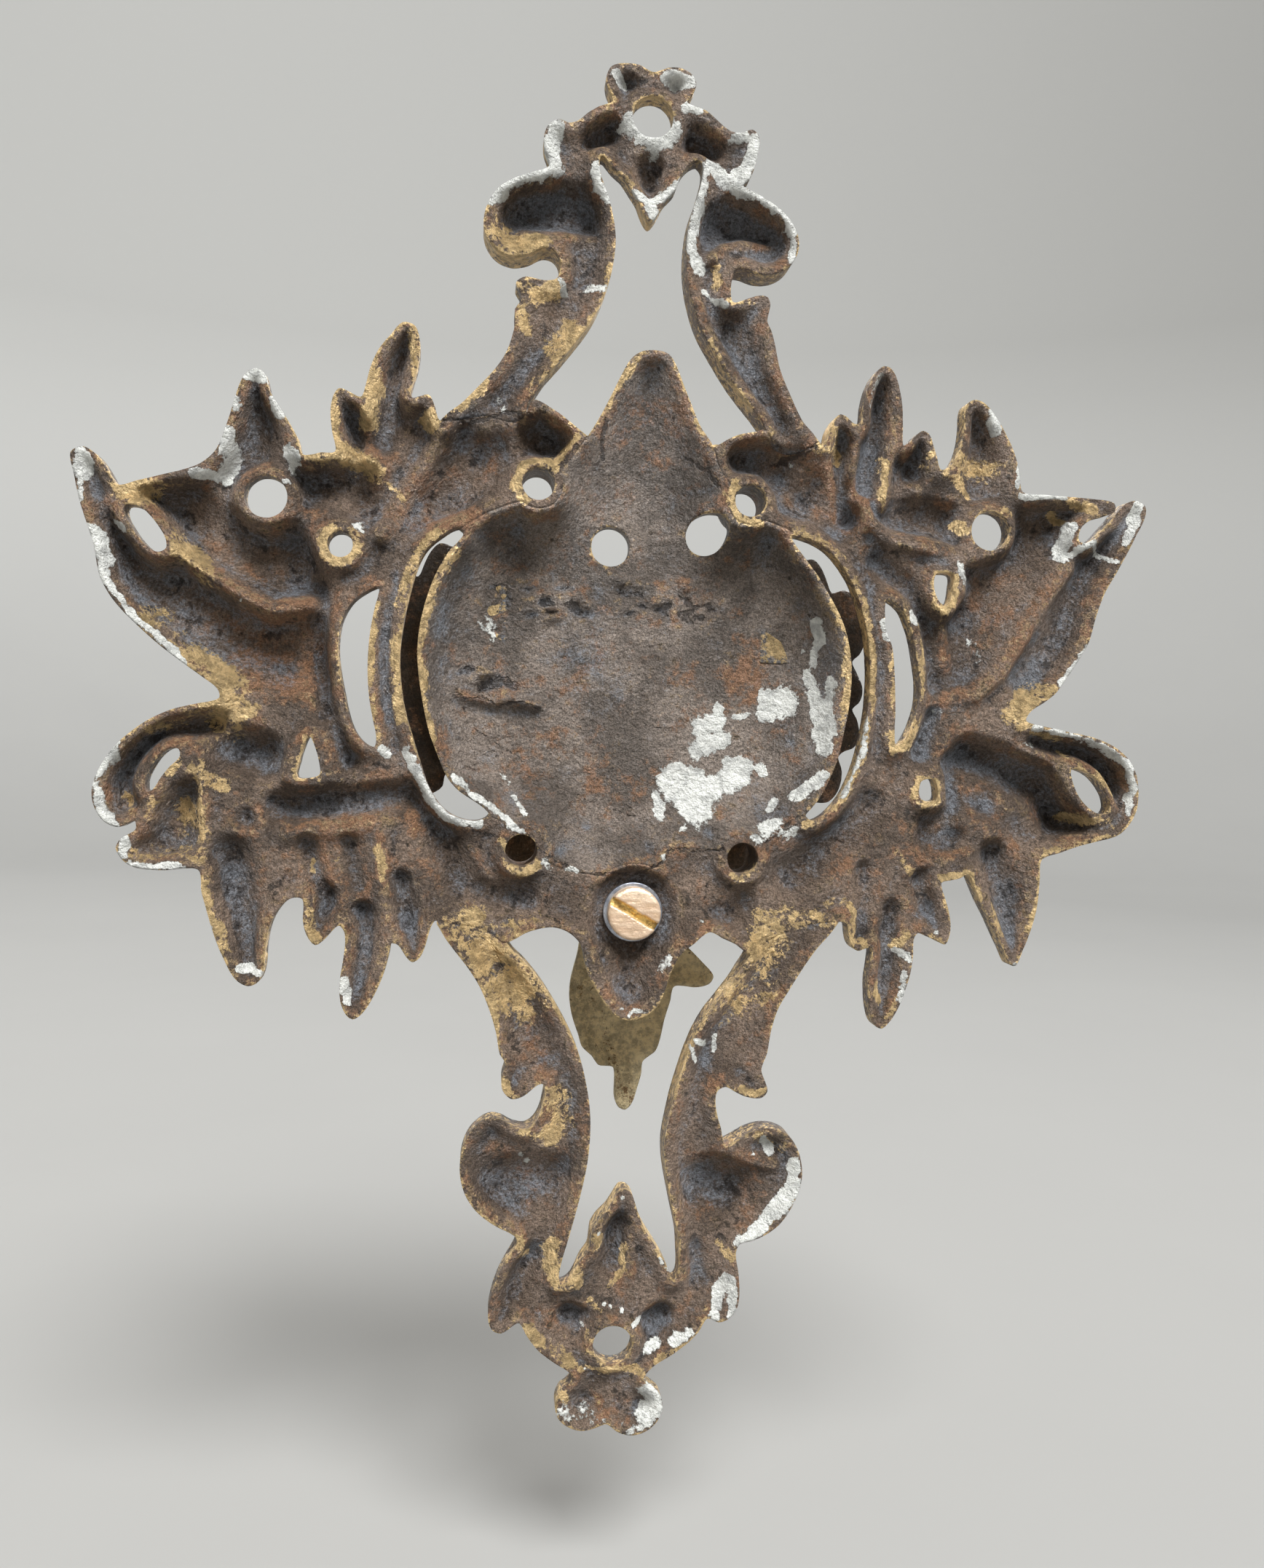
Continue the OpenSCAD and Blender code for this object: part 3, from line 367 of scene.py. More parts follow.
# ---------------------------------------------------------------- paint, painted sheen and marks, by place
# (strength, radius, u1, v1, u2, v2, ...): noise breaks up the border.
GOLD = [
    (1, 3.2, -82, 13, -78, 11, -74, 8), (1, 3.6, -78, 8, -73, 5, -75, 1), (.9, 3, -92, 42.5, -88, 42),
    (.95, 2.6, -85, 34, -81, 31, -79, 28), (.7, 3, -88, 20, -82, 15), (1, 1.8, -61, 50, -55, 50, -49, 49),
    (1, 1.6, -56.5, 60, -56.5, 54, -55, 51), (.9, 2.4, -54, 51, -50, 47.5), (1, 2.2, -40, 58, -38.5, 57),
    (.8, 1.8, -44.5, 44, -47, 46), (1, 1.6, *ring((-55.2, 34.3), 3.0, 16).flat),
    (1, 1.5, -47.5, -21, -47, -26), (1, .9, -55.5, -23.5, -55, -23), (.9, .9, -59.8, -23, -59.6, -25.5),
    (1, 1.7, -78.8, -26.5, -77.5, -32, -74, -40), (1, 1.5, -60.3, -30.5, -59.6, -35, -58.4, -37.5),
    (.8, 1.8, -79, -6, -79, -23), (.75, 2.6, -82, -14, -82, -18), (.8, 2.2, -80, -7, -75, -10),
    (.9, 1.6, -93, -12, -91, -14.5), (.7, 2, -92, -21.5, -86, -22, -80, -22),
    (.8, 1.6, -83, -5, -88, -12, -89, -16), (.7, 1.6, -80, 3, -88, 0),
    (.9, 1.2, -60.5, -1, -62.5, -7.5, -58.5, -8, -60, -1), (1, 2.2, -51, 69, -49.5, 62, -51, 57),
    (.8, 1.4, -43.5, 73, -42.5, 66),
    # slots and bosses
    (1, 1.5, -35, 39.4, -40, 36, -43.2, 30, -44.8, 22, -45.2, 12, -44.2, 3),
    (1, 1.3, -34, 34, -37.5, 29, -40, 21, -40.6, 14, -40, 7, -38, 0),
    (1, 1.5, 29, 40.5, 35, 38.8, 39.5, 34.5, 43, 27, 45, 18, 45.2, 9, 43.4, -3, 38.5, -12, 33, -15),
    (.9, 1.1, 36, 30, 39.5, 21, 40.6, 12, 39.5, 2), (1, 1.6, -22.5, 50, -24, 47, -22, 43.8),
    (1, 1.5, -16.5, 50, -18, 51.5, -22, 51), (1, 1.5, 17, 49, 16.6, 45, 18, 42.6, 22, 41.8),
    (1, 1.6, -24.6, -19, -24.5, -23, -21, -25.2, -18, -23.4), (.7, 1.2, 18, -25, 21, -25.6, 24.8, -22),
    (.9, 1.3, -48.6, 24, -49.6, 15, -49.2, 6, -48.4, 0), (1, 1.6, 54, 4, 52.5, .5, 50.2, -.6, 49, 3),
    (.8, 1, 49, 20, 49.3, 8), (.8, 1, 54.6, 24, 55, 14, 54.8, 5),
    # right spray
    (1, 1.3, 46, 55, 46.4, 48, 46.6, 45.6), (1, 1.6, 33, 56.5, 37, 55.5), (1, 1.8, 36, 60, 37.6, 55),
    (1, 1.8, 58, 53.5, 62, 52, 64, 49.5), (.8, 2.6, 60, 55, 68, 54.6), (1, 1.6, 55.6, 56.5, 54.8, 55),
    (1, 1.8, 84, 49, 89, 47.4), (.9, 1.2, 81, 46.4, 84, 45.4), (1, 1.5, 61.8, 43.6, 62.6, 42),
    (1, 1.4, 70, 46.8, 71.5, 46), (1, 1.2, 56.3, 32, 57.5, 28, 59.5, 26.6, 60.8, 29, 60.8, 33),
    (1, 2.6, 74, 7, 77, 10.4, 81, 12), (1, 2, 73.6, 7.6, 76, 5.4), (.9, 1.7, 78, 4.4, 84, 2.8),
    (1, 1.5, 85.5, -.6, 88, -3), (.9, 1.3, 92, -4, 95, -8), (.9, 1.6, 88, -13, 95, -14.5),
    (1, 1.8, 52, -20.6, 54.5, -24), (1, 1.1, 60, -25.4, 65.6, -24.2, 68.5, -29),
    (.9, 1.2, 80.6, -21, 80.2, -28, 78.6, -35), (1, .9, 81, -20.4, 88, -18.2, 95, -16.6),
    (1, 1.4, 38, -30.6, 41, -30, 43.6, -32, 42.6, -37, 45, -38), (.85, 1.8, 71.5, -31, 72.6, -36),
    (1, 1.3, 48, -46, 48.5, -49.5), (1, 1.3, 52, -38.5, 53.8, -36.6), (.8, 1, 58, -36.4, 61.6, -37.6),
    (1, 1.1, 55, -6, 58.6, -6.2, 59.2, -10, 56, -11, 54.2, -9.5, 55, -6), (.8, 1.5, 50, -53, 52, -49),
    (.8, 2.4, 30, -33, 38, -33.6, 25, -33),
    # upper crest
    (1, 2.6, -28, 92, -24, 90.6, -20, 90.8), (1, 2.2, -23, 82.6, -20, 81.6, -17.4, 83),
    (1, 1.9, -23.4, 79, -22.6, 75.4), (1, 2, -17.4, 82, -21, 80.5), (1.1, 3.1, -14.8, 74.6, -16.6, 72),
    (1, 1.9, -21, 64.6, -18.8, 66.4), (1, 1.5, -34, 60.4, -29.6, 65.4, -26, 70.8),
    (.9, 1.2, -8.4, 80.4, -12, 75, -17, 68.6), (.75, 1.8, 12.6, 89.6, 12.8, 86),
    (.85, 1, -6.8, 98, -6.8, 91, -8, 84), (.7, 1.2, 15, 82.6, 20, 82.2),
    (1, 1.2, 5.2, 71.4, 7.4, 66.2, 10.6, 59, 13.4, 55.6), (1, 1.7, 9.4, 60, 12.6, 55.4),
    (1, 1.4, -1, 71.8, -4.4, 67, -7, 61.8), (.9, 1.3, 14, 57, 18, 58.4), (.9, 1, -12.8, 56, -16.6, 51.4),
    (.8, .9, 20, 63, 15, 69, 11.6, 75), (.6, 1.6, 23, 60, 25, 58), (1, 1.2, -19.6, 108, -19, 104.8),
    (.8, 1.2, -28, 95, -26, 94.4), (1, 1.4, 0, 98, .4, 97), (.7, 1.2, -8, 107, -4, 103),
    # lower crest
    (.85, 5, -31, -36, -26, -42, -20, -49), (.8, 3, -24, -36, -19, -35.6),
    (.9, 1.6, -27.6, -46, -25.8, -52, -25, -58), (1, 1.5, -24, -64.6, -22.4, -67),
    (.95, 2.8, -13.6, -68, -12.8, -72, -15, -75), (1, 1.9, -20.6, -73.6, -17, -75),
    (.8, 1.4, -15.4, -66, -13, -66), (.7, 4.6, 27, -37, 24, -43, 19, -50, 25, -47),
    (.8, 1.2, 13.4, -54, 18, -48), (1, 1.5, 20.4, -66.6, 25.6, -66.8), (.8, 1.2, -27, -90, -20.8, -94),
    (.85, 1.9, -20, -94.4, -19.2, -97.4), (.9, 2.2, -14, -95.4, -14.6, -100, -12.4, -103),
    (.9, 1.5, -11, -104, -8.6, -99.6), (.9, 1.6, 18.6, -96.4, 20.6, -99), (1, 1.7, -5, -94.6, -6, -96.6),
    (1, 1.4, -8.4, -100, -9, -104), (1, 1.1, 0, -96.6, 0, -102, -3.4, -105),
    (1.1, 2, -18.6, -111.6, -14, -115.4, -10, -118.4), (1, 1.6, -8.4, -119.6, -2, -120.6, 3.4, -120.4),
    (.9, 1.2, -6.6, -113, -7, -116.6), (.8, 1.4, -11.6, -124, -11, -126.6), (.9, 1.2, -4.4, -126.8),
    (.8, .9, 15.6, -109, 14.6, -111.6), (.9, .9, 6, -119, 12, -115.4), (.6, 3.4, 27, -74.6, 31, -76),
    (.9, 1, 32.6, -88, 26, -94.6), (.8, 1.2, -6.4, -107, -4.6, -109.4),
]
WHITE = [
    # dish
    (1.1, 3.9, 9, -8, 12.5, -12), (1.05, 2.6, 9, -6.6, 17, -8.6, 21.6, -6), (1, 1.7, 4.8, -11, 5.6, -14),
    (1, 2.1, 19, -4.2, 23, -4), (1, 1.9, 25.6, -4.8), (1, 2.6, 13.5, -1, 17.4, .8),
    (1, 2.3, 13, 3, 17, 4.6), (1, 1.5, 17, 7), (1, 1, 20.4, 5.2, 22.4, 5.6), (1, 3, 27, 7.4, 30, 8.6),
    (1, 2, 25.6, 6, 26, 10), (1, 1.2, 34.6, 24, 35.6, 20, 35.2, 16), (.8, .9, 33, 18.4),
    (1, 1.7, 34, 14, 35.6, 9.6, 36.4, 4, 36.4, -1), (1, 1.1, 38, 13, 37.6, 7, 38, 2),
    (1, 1.5, 36, -5.4, 34, -8, 31, -10.4), (.9, 1.3, 26.4, -12.4, 27.4, -11), (.8, 1, 9, -17, 10, -16.4),
    (.6, 2.2, -29, 22, -27.6, 20), (.6, 1.1, -25, -6.6, -24, -8.4),
    (.85, 1, -34, -7, -31.4, -10, -27, -13, -21, -17.6), (.8, .8, -23.4, -10.6, -20.6, -14),
    (.7, .9, 5.6, -21.6, 5.6, -23), (.8, .9, -13, -24.2, -11, -24.6), (.8, 1.1, -17, -22.4, -15.8, -24),
    (1, 1.4, -42.4, -3, -40.8, -7.4, -38.4, -11.4, -34.6, -14.8, -29.6, -16),
    (.8, 1.2, 40, -9, 43.6, -1, 44, 6), (.9, 1.2, 24.6, -16, 28, -14.6), (.6, 2.2, 23, -17.6, 30, -16.6),
    (.7, 1, -46.4, -2.6), (1, 1.3, -46.6, -2.8, -46.3, -3.4), (1, 1.1, -42.6, -2.6, -41.4, -3.6),
    (.8, .6, 14.8, -30), (.7, .9, 13.2, -34),
    # left spray
    (1.1, 2.1, -100, 48, -99.6, 45.4), (1, 1.5, -98.6, 35, -97, 33),
    (1, 1.6, -97.6, 34, -96.2, 29, -95.8, 26.4), (1, 1, -95.6, 26, -91.6, 20.6, -86, 15.6, -82, 12),
    (1, 2, -75.6, 53, -74.8, 49, -75.6, 46), (1, 1.3, -81.4, 46, -77.6, 45.6),
    (1, 1.7, -65, 51, -63.6, 49.4), (.8, .9, -64, 47.4, -64.4, 48.6), (1.1, 1.8, -71.4, 64, -69, 63.2),
    (.9, 1.1, -74.6, 60, -73.8, 58), (1, 1.3, -67.6, 59.6, -66, 57), (.9, .9, -95, 37, -92.6, 35.2),
    (.8, 1.2, -52.4, 38, -51.6, 37), (.8, .7, -72.8, 24.2), (1, .8, -100.2, 43, -100, 40),
    (1, 1.3, -93.6, -2.6, -95.2, -5.4, -96.4, -8), (1, 1.2, -97, -9.6, -96.2, -14.6, -94, -17),
    (1, 1.3, -92, -19.4, -92.4, -22.4), (.9, 1, -91, -23.8, -87, -24.4, -82, -24.6),
    (1, .9, -77.6, -35, -75.6, -40.6), (.9, 1.2, -72.4, -43.4, -68.4, -44),
    (1, 1.4, -53.2, -45.4, -52.6, -49), (.6, .8, -50.4, -4.6), (1, 1.1, -64.6, 45.4),
    # right spray
    (1, 1, 73.8, 49.4, 82.6, 49.4), (1, 1.7, 84.6, 44, 83.4, 40, 83.2, 38),
    (.9, 1.3, 84.6, 38.6, 88.6, 40.6), (.9, .8, 89.4, 40.2, 94, 37.4), (1.1, 1.8, 97.8, 48.4, 97, 46),
    (.9, 1.2, 97.4, 46, 95.8, 41.6), (1, 1.1, 88.4, 20.4, 86.4, 17.4, 83.4, 14),
    (.9, 1.7, 67, 65, 68.8, 61.6), (.9, .9, 73, 56, 72.8, 51), (.7, 1.8, 62, 34.6, 63.4, 32.6),
    (.5, 1.2, 66.6, 22, 67.4, 17.4), (.45, 1.1, 58, 7.4, 64, 6.6), (.8, 1, 78, 4.6, 86, 3.4, 92.4, 1.4),
    (1, 1, 93, 1.2, 97.6, -2, 99.4, -7, 98.6, -12), (.7, .9, 76, 1.4, 79, 1),
    (.8, 1.2, 53.6, -44, 52.4, -49), (1, 1.2, 52.4, -39.4, 53.6, -40.8), (.8, .7, 59.6, -36),
    (.8, .8, 75.8, -42), (.6, .6, 63.8, 24.4), (.6, .6, 56.2, 4), (.9, 1.4, 53.6, 24.4, 52.4, 26),
    (1, 1.3, 47.2, 23.6, 47.6, 21.6), (.5, 1.6, 45, 71, 43.6, 66), (.6, 1, 29, 54),
    # upper crest
    (1.1, 1.7, -17.6, 104.6, -22, 103, -26, 101.4, -29.4, 97.6),
    (1.1, 2.2, -18.2, 111.6, -18.4, 107, -17.8, 104.8), (1, 1.3, -10.6, 105.6, -9.6, 102, -8, 99.4),
    (1.1, 2.6, -3.6, 113.4, 0, 110.6, 3.2, 113), (1, 1.6, -2.6, 101, 0, 99.6, 3.4, 101.4),
    (.9, 1, 3.4, 101.6, 5.4, 104), (1, 1.6, 0, 98.6, .3, 97.4), (1.1, 1.9, 11.4, 107.6, 14.4, 105, 16, 106),
    (1.1, 1.7, 19, 112.4, 18.4, 107.6, 16.8, 104.6), (1, 1.8, 9.8, 106, 9.4, 102, 8.4, 97),
    (1, 1.6, 8, 96, 8, 91, 9.4, 88), (1, 1.2, 15.6, 103.6, 21, 101.8, 25.4, 98.8, 27.6, 95.6),
    (.9, 1, 27.6, 94, 27, 90.8), (.75, 1, 11, 84.6, 14.6, 81.6), (.75, 1.3, -16.4, 84, -15.4, 82.4),
    (.75, 1.2, -11.6, 83.6, -8.4, 83.4), (.6, .9, -27.4, 62.4, -26.4, 60.6), (1, 1.6, -7, 122.4, -6, 121),
    (1.05, 1.9, 3, 122.6, 6.6, 122), (.9, 1.3, 6.4, 117.4, 8.6, 116.8), (.9, 1.6, 14.6, 112.4, 17.4, 112.8),
    (.5, .8, 23, 78.6),
    # lower crest
    (1.1, 1.8, 32.6, -81, 32.4, -86, 29.6, -90.6), (1.1, 1.7, 30, -89, 26, -93.4, 22.4, -96),
    (1, 1.3, 26.6, -76, 27.8, -78.4), (.7, .6, 24, -79), (1.1, 1.6, 20.4, -103.6, 18.4, -107, 17.6, -110),
    (1, 1.2, 21.2, -105, 21, -110), (.9, .6, -3.8, -108.3), (.9, .5, -2.5, -108.5), (1, .7, -.6, -109),
    (1, 1, 2, -111.6, 2.8, -111.4), (.9, 1.6, 4.6, -117, 6.4, -116), (.9, 1.4, 9.6, -115.4, 12.6, -113.4),
    (.9, 2.4, 4.6, -130, 6.4, -127.6, 4.8, -124.6), (.8, 1.1, 1, -132, 4.6, -131.4),
    (.55, 2.4, -11.4, -128, -6, -129.6), (.8, .6, 0, -130.4), (.7, .8, -3.2, -129.8), (.8, .9, -.6, -86.6),
    (.8, .7, -4.8, -93.8), (.8, .7, 6.8, -99, 8.2, -101), (.9, .9, 12, -58, 12.6, -60.6),
    (.9, .8, 14.4, -57.6, 13, -56.6), (.9, .8, 16.6, -56.8, 16.6, -59), (.7, .6, 9.6, -103),
    (.8, .7, -7.4, -120), (.7, 1.2, 6.8, -41, 5.6, -43), (.9, .7, -.6, -52, .8, -51),
    (.6, .5, -2.4, -50.4, 3, -51), (.6, .9, -20.2, -79, -19, -80.6), (.6, .8, -7.8, -112),
]
# Blue-grey painted sky sheen in the hollows and on the dish, in the same form.
BLUE_SHEEN = [
    (1, 6.5, -12, 16, -6, 12), (.7, 5, -14, 28, -8, 24), (.8, 3.5, -48.5, 20, -47.5, 6),
    (.8, 3, -57, 0, -56, -7), (1, 3.6, -92, 24, -84, 20, -76, 14, -66, 10), (.8, 3.2, -66, 28),
    (.8, 4, -71, -5), (.8, 3, -62, -14.6, -50, -13), (.8, 3.6, -73, -27), (1, 3.4, -90, -2, -93, -9),
    (.8, 3, -50.6, -42), (.8, 3, -42, -35), (1, 3, 42, 56, 44, 44, 44.6, 41),
    (.9, 3.4, 60, 5, 58, -2, 61, -6), (.8, 5, 66, -9, 74, -10), (1, 3.2, 94, 44, 91, 42),
    (.9, 4, 79, 20, 77, 15), (.7, 3, 58, -32), (.8, 3.6, 76, -30, 76, -36), (.8, 3.6, 54, 37, 60, 36),
    (.8, 4, 46, 34, 42, 30), (1, 3.8, 27, -16, 38, -15), (.9, 5, 20, 67, 23, 72), (.6, 4, 16, 76, 18, 84),
    (1, 2.4, -9, -38, -6, -46), (.8, 3, -8, -62, -8, -74), (1.3, 4.5, -19, -86), (1.3, 4.5, 16, -86),
    (1.1, 4.4, -21, 97, -15, 98), (1.3, 4.6, 14, 97, 21, 96), (.8, 3, -9, -111), (.8, 3, 6, -113),
    (.8, 3.4, -28, 54, -33, 56), (.8, 3, -38.5, 28, -37.5, 20), (.8, 2.4, 39, 24, 39.6, 12),
    (.8, 3, -24, -32), (.7, 3.4, 60, -18), (.8, 2.6, 62, 31), (.8, 3.4, 72, -6, 64, 0),
    (.5, 9, 25, 46, 34, 43),
]
RED = [
    (1, 9, -70, 17, -62, 15), (.8, 6, -74, 27), (.8, 7, -42, 42, -36, 44), (.7, 8, -60, -18, -48, -20),
    (.8, 6, -40, -14), (.8, 4, -20, -60), (.6, 8, 24, 12), (.7, 6, 36, 52, 40, 44), (.6, 8, 48, -24),
    (.6, 9, 0, 62), (.7, 6, -32, 50), (.5, 9, -24, -2), (.7, 5, 74, 22), (.7, 5, 24, -84), (.6, 8, 70, 30),
]
# Cracks, seams and scratches.
CREASES = [
    (.55, .4, -31, 2, -20, -5, -8, -12, 2, -15), (.5, .4, -23.6, 4.6, -23, -1, -21, -6),
    (.45, .4, -27, -4, -18, 2), (.45, .4, -14, -10.5, -4, -10, 3, -15.4), (.5, .4, -4, 9, 0, 4, 8, 2),
    (.6, .4, 16, 12, 17.5, 6),
    (.75, .55, -20, -19.4, -16, -22, -12, -24.2, -8, -25.3, -4, -25, 0, -25.5, 5, -23, 6.4, -20.8,
     8, -20, 12, -20.6, 17, -20),
    (1, .6, -7.5, 53, -7.9, 56, -7.2, 59.5), (1, .7, 27, 54.6, 30.4, 55.6, 34, 57.4),
    (.9, .6, -38, 57.5, -30, 58.4, -26, 60, -21, 59.6), (1, .6, -12.8, 54.4, -15.4, 50.6, -17.6, 49.4),
    (.9, .6, 8.4, 53.8, 12.4, 51.2, 14.6, 48.4),
    (.75, .5, -34.4, 9, -32.6, 7.2, -29, 7.8, -26.4, 6.2, -22, 7, -18, 5.8),
    (.8, .5, -36, -12, -30, -17.4, -25.6, -18.6), (.7, .5, 25, -19, 31, -14, 35, -12),
    (.7, .5, -15.6, -26, -16.8, -31, -14, -34.6), (.7, .5, 14.6, -25, 13.8, -30, 15.4, -33),
    (.8, .45, -27, -37.4, -24, -44, -22.6, -50), (.6, .45, 20, 72, 22, 66, 25.4, 61),
]


def painted(p, patches, spread=1.0):
    """Flat patches of paint with soft borders; the broad ones are drawn in by spread."""
    out = np.zeros(len(p))
    for strength, radius, *line in patches:
        reach = radius * (spread + (1 - spread) * min(1, max(0, (radius - 1.8) / 1.2)))
        t = stroke_distance(p, line) / reach
        out = np.maximum(out, strength * np.clip(1.5 - t, 0, 1))
    return out


def glow(p, patches):
    """Tints that fade out evenly."""
    out = np.zeros(len(p))
    for strength, radius, *line in patches:
        out = np.maximum(out, strength * bump(stroke_distance(p, line) / (radius * 1.6)))
    return out


# ---------------------------------------------------------------- mesh building

def spread_mesh(loops, pitch):
    """Even triangles over an outline: points and triangles."""
    row_height, edge_gap = 0.866, 0.62
    flat = np.vstack(loops)
    edges, at = [], 0
    for loop in loops:
        ids = np.arange(at, at + len(loop))
        edges += list(zip(ids.tolist(), np.roll(ids, -1).tolist()))
        at += len(loop)
    low, high = flat.min(0), flat.max(0)
    grid = []
    for j, y in enumerate(np.arange(low[1], high[1], pitch * row_height)):
        xs = np.arange(low[0] + (j % 2) * pitch / 2, high[0], pitch)
        grid.append(np.stack([xs, np.full(len(xs), y)], 1))
    grid = np.vstack(grid)
    grid = grid[inside(grid, loops)]
    grid = grid[nearest(grid, flat) > pitch * edge_gap]
    points = np.vstack([flat, grid])
    made = delaunay_2d_cdt([Vector(q) for q in points], edges, [], 2, 1e-5)
    pts = np.array([(q.x, q.y) for q in made[0]])
    tri = np.array([f for f in made[2] if len(f) == 3])
    keep = inside(pts[tri].mean(1), loops)
    return pts, tri[keep]


def edges_of(tri):
    return np.vstack([tri[:, [0, 1]], tri[:, [1, 2]], tri[:, [2, 0]]])


def border_edges(tri):
    """Directed edges that only one triangle uses."""
    e = edges_of(tri)
    _, first, count = np.unique(np.sort(e, 1), axis=0, return_index=True, return_counts=True)
    return e[first[count == 1]]


def relax(tri, values, times, fixed=False, share=0.5):
    """Evens out a value over its neighbours, leaving the fixed points alone."""
    e = edges_of(tri)
    e = np.vstack([e, e[:, ::-1]])
    n = len(values)
    count = np.bincount(e[:, 0], minlength=n).astype(float)
    for _ in range(times):
        mean = np.bincount(e[:, 0], values[e[:, 1]], minlength=n) / np.maximum(count, 1)
        values = np.where(fixed, values, values + share * (mean - values))
    return values


def make_object(name, verts, faces, attrs, material):
    mesh = bpy.data.meshes.new(name)
    mesh.from_pydata([tuple(v) for v in verts], [], [tuple(f) for f in faces])
    for key, value in attrs.items():
        layer = mesh.attributes.new(key, "FLOAT", "POINT")
        layer.data.foreach_set("value", np.asarray(value, np.float32))
    mesh.polygons.foreach_set("use_smooth", [True] * len(mesh.polygons))
    mesh.update()
    mesh.materials.append(material)
    obj = bpy.data.objects.new(name, mesh)
    bpy.context.scene.collection.objects.link(obj)
    return obj


def face_outwards(mesh):
    turned = bmesh.new()
    turned.from_mesh(mesh)
    bmesh.ops.recalc_face_normals(turned, faces=turned.faces)
    turned.to_mesh(mesh)
    turned.free()


def shell(name, pts, tri, back, front, attrs, material, place=to_row):
    """A closed casting between a back and a front depth field, its side wall in even rows."""
    rows = 5
    n = len(pts)
    border = border_edges(tri)
    rim = np.unique(border)
    slot = -np.ones(n, int)
    slot[rim] = np.arange(len(rim))
    shares = [k / rows for k in range(1, rows)]
    verts = [place(pts[:, 0], pts[:, 1], back), place(pts[:, 0], pts[:, 1], front)]
    verts += [place(pts[rim, 0], pts[rim, 1], back[rim] * (1 - t) + front[rim] * t) for t in shares]

    def row(k, i):
        if k == 0:
            return i
        if k == rows:
            return n + i
        return 2 * n + (k - 1) * len(rim) + slot[i]

    faces = [(a, b, c) for a, b, c in tri]
    faces += [(n + a, n + c, n + b) for a, b, c in tri]
    faces += [(row(k, b), row(k, a), row(k + 1, a), row(k + 1, b)) for a, b in border for k in range(rows)]
    full = {}
    for key, (on_back, on_front) in attrs.items():
        sides = [on_back[rim] * (1 - t) + on_front[rim] * t for t in shares]
        full[key] = np.concatenate([on_back, on_front] + sides)
    return make_object(name, np.vstack(verts), faces, full, material)


PAINTS = ("gold", "white", "blue", "red", "proud", "crease")


def looks(n, **given):
    """What the material reads on a shell's back and front, zero where nothing is given."""
    zero = np.zeros(n)
    return {key: given.get(key, (zero, zero)) for key in PAINTS}


def assign(obj, body, node, slot_name):
    """Gives a piece its body and hides the CAD node that it stands for, if any; slot_name is not used."""
    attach(obj, body)
    if node:
        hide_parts(node)


# ---------------------------------------------------------------- materials

class Nodes:
    """Short names for building a shader."""

    def __init__(self, name):
        self.material = bpy.data.materials.new(name)
        self.material.use_nodes = True
        self.tree = self.material.node_tree
        self.tree.nodes.clear()
        out = self.new("OutputMaterial")
        self.shader = self.new("BsdfPrincipled")
        self.link(self.shader.outputs[0], out.inputs[0])
        self.place = self.new("TexCoord").outputs["Object"]

    def link(self, value, socket):
        if isinstance(value, bpy.types.NodeSocket):
            self.tree.links.new(value, socket)
        elif socket.type == "RGBA":
            socket.default_value = (*value, 1)
        else:
            socket.default_value = value

    def fill(self, node, **sockets):
        """Links or sets a node's sockets by name, with _ for a space."""
        for key, value in sockets.items():
            self.link(value, node.inputs[key.replace("_", " ")])
        return node

    def new(self, kind, **sockets):
        return self.fill(self.tree.nodes.new("ShaderNode" + kind), **sockets)

    def noise(self, scale, detail=5.0, rough=0.6, stretch=None):
        place = self.place
        if stretch:
            place = self.new("Mapping", Vector=place, Scale=stretch).outputs[0]
        return self.new("TexNoise", Vector=place, Scale=scale, Detail=detail, Roughness=rough).outputs[0]

    def math(self, op, a, b, clamp=False):
        node = self.new("Math")
        node.operation = op
        node.use_clamp = clamp
        self.link(a, node.inputs[0])
        self.link(b, node.inputs[1])
        return node.outputs[0]

    def add(self, a, b):
        return self.math("ADD", a, b)

    def mul(self, a, b):
        return self.math("MULTIPLY", a, b)

    def ramp(self, value, low, high, to_low=0.0, to_high=1.0):
        node = self.new("MapRange", Value=value, From_Min=low, From_Max=high, To_Min=to_low, To_Max=to_high)
        node.interpolation_type = "SMOOTHSTEP"
        return node.outputs[0]

    def mix(self, factor, a, b, blend="MIX"):
        node = self.new("Mix")
        node.data_type = "RGBA"
        node.blend_type = blend
        for value, socket in ((factor, 0), (a, 6), (b, 7)):
            self.link(value, node.inputs[socket])
        return node.outputs[2]

    def attribute(self, name):
        node = self.new("Attribute")
        node.attribute_name = name
        return node.outputs["Fac"]

    def bump(self, height, distance, strength=1.0):
        return self.new("Bump", Height=height, Distance=distance, Strength=strength).outputs[0]

    def set(self, **sockets):
        self.fill(self.shader, **sockets)
        return self.material


DARK, BROWN, RUST = (0.034, 0.027, 0.024), (0.27, 0.195, 0.145), (0.33, 0.175, 0.095)
OCHRE, SLATE, PALE_DUST_GLINT = (0.45, 0.32, 0.18), (0.215, 0.235, 0.265), (0.62, 0.58, 0.54)
GILT = (0.84, 0.61, 0.31)
CHALK, CHALK_GREY, CHALK_DIRT = (0.93, 0.93, 0.87), (0.56, 0.56, 0.53), (0.30, 0.26, 0.21)


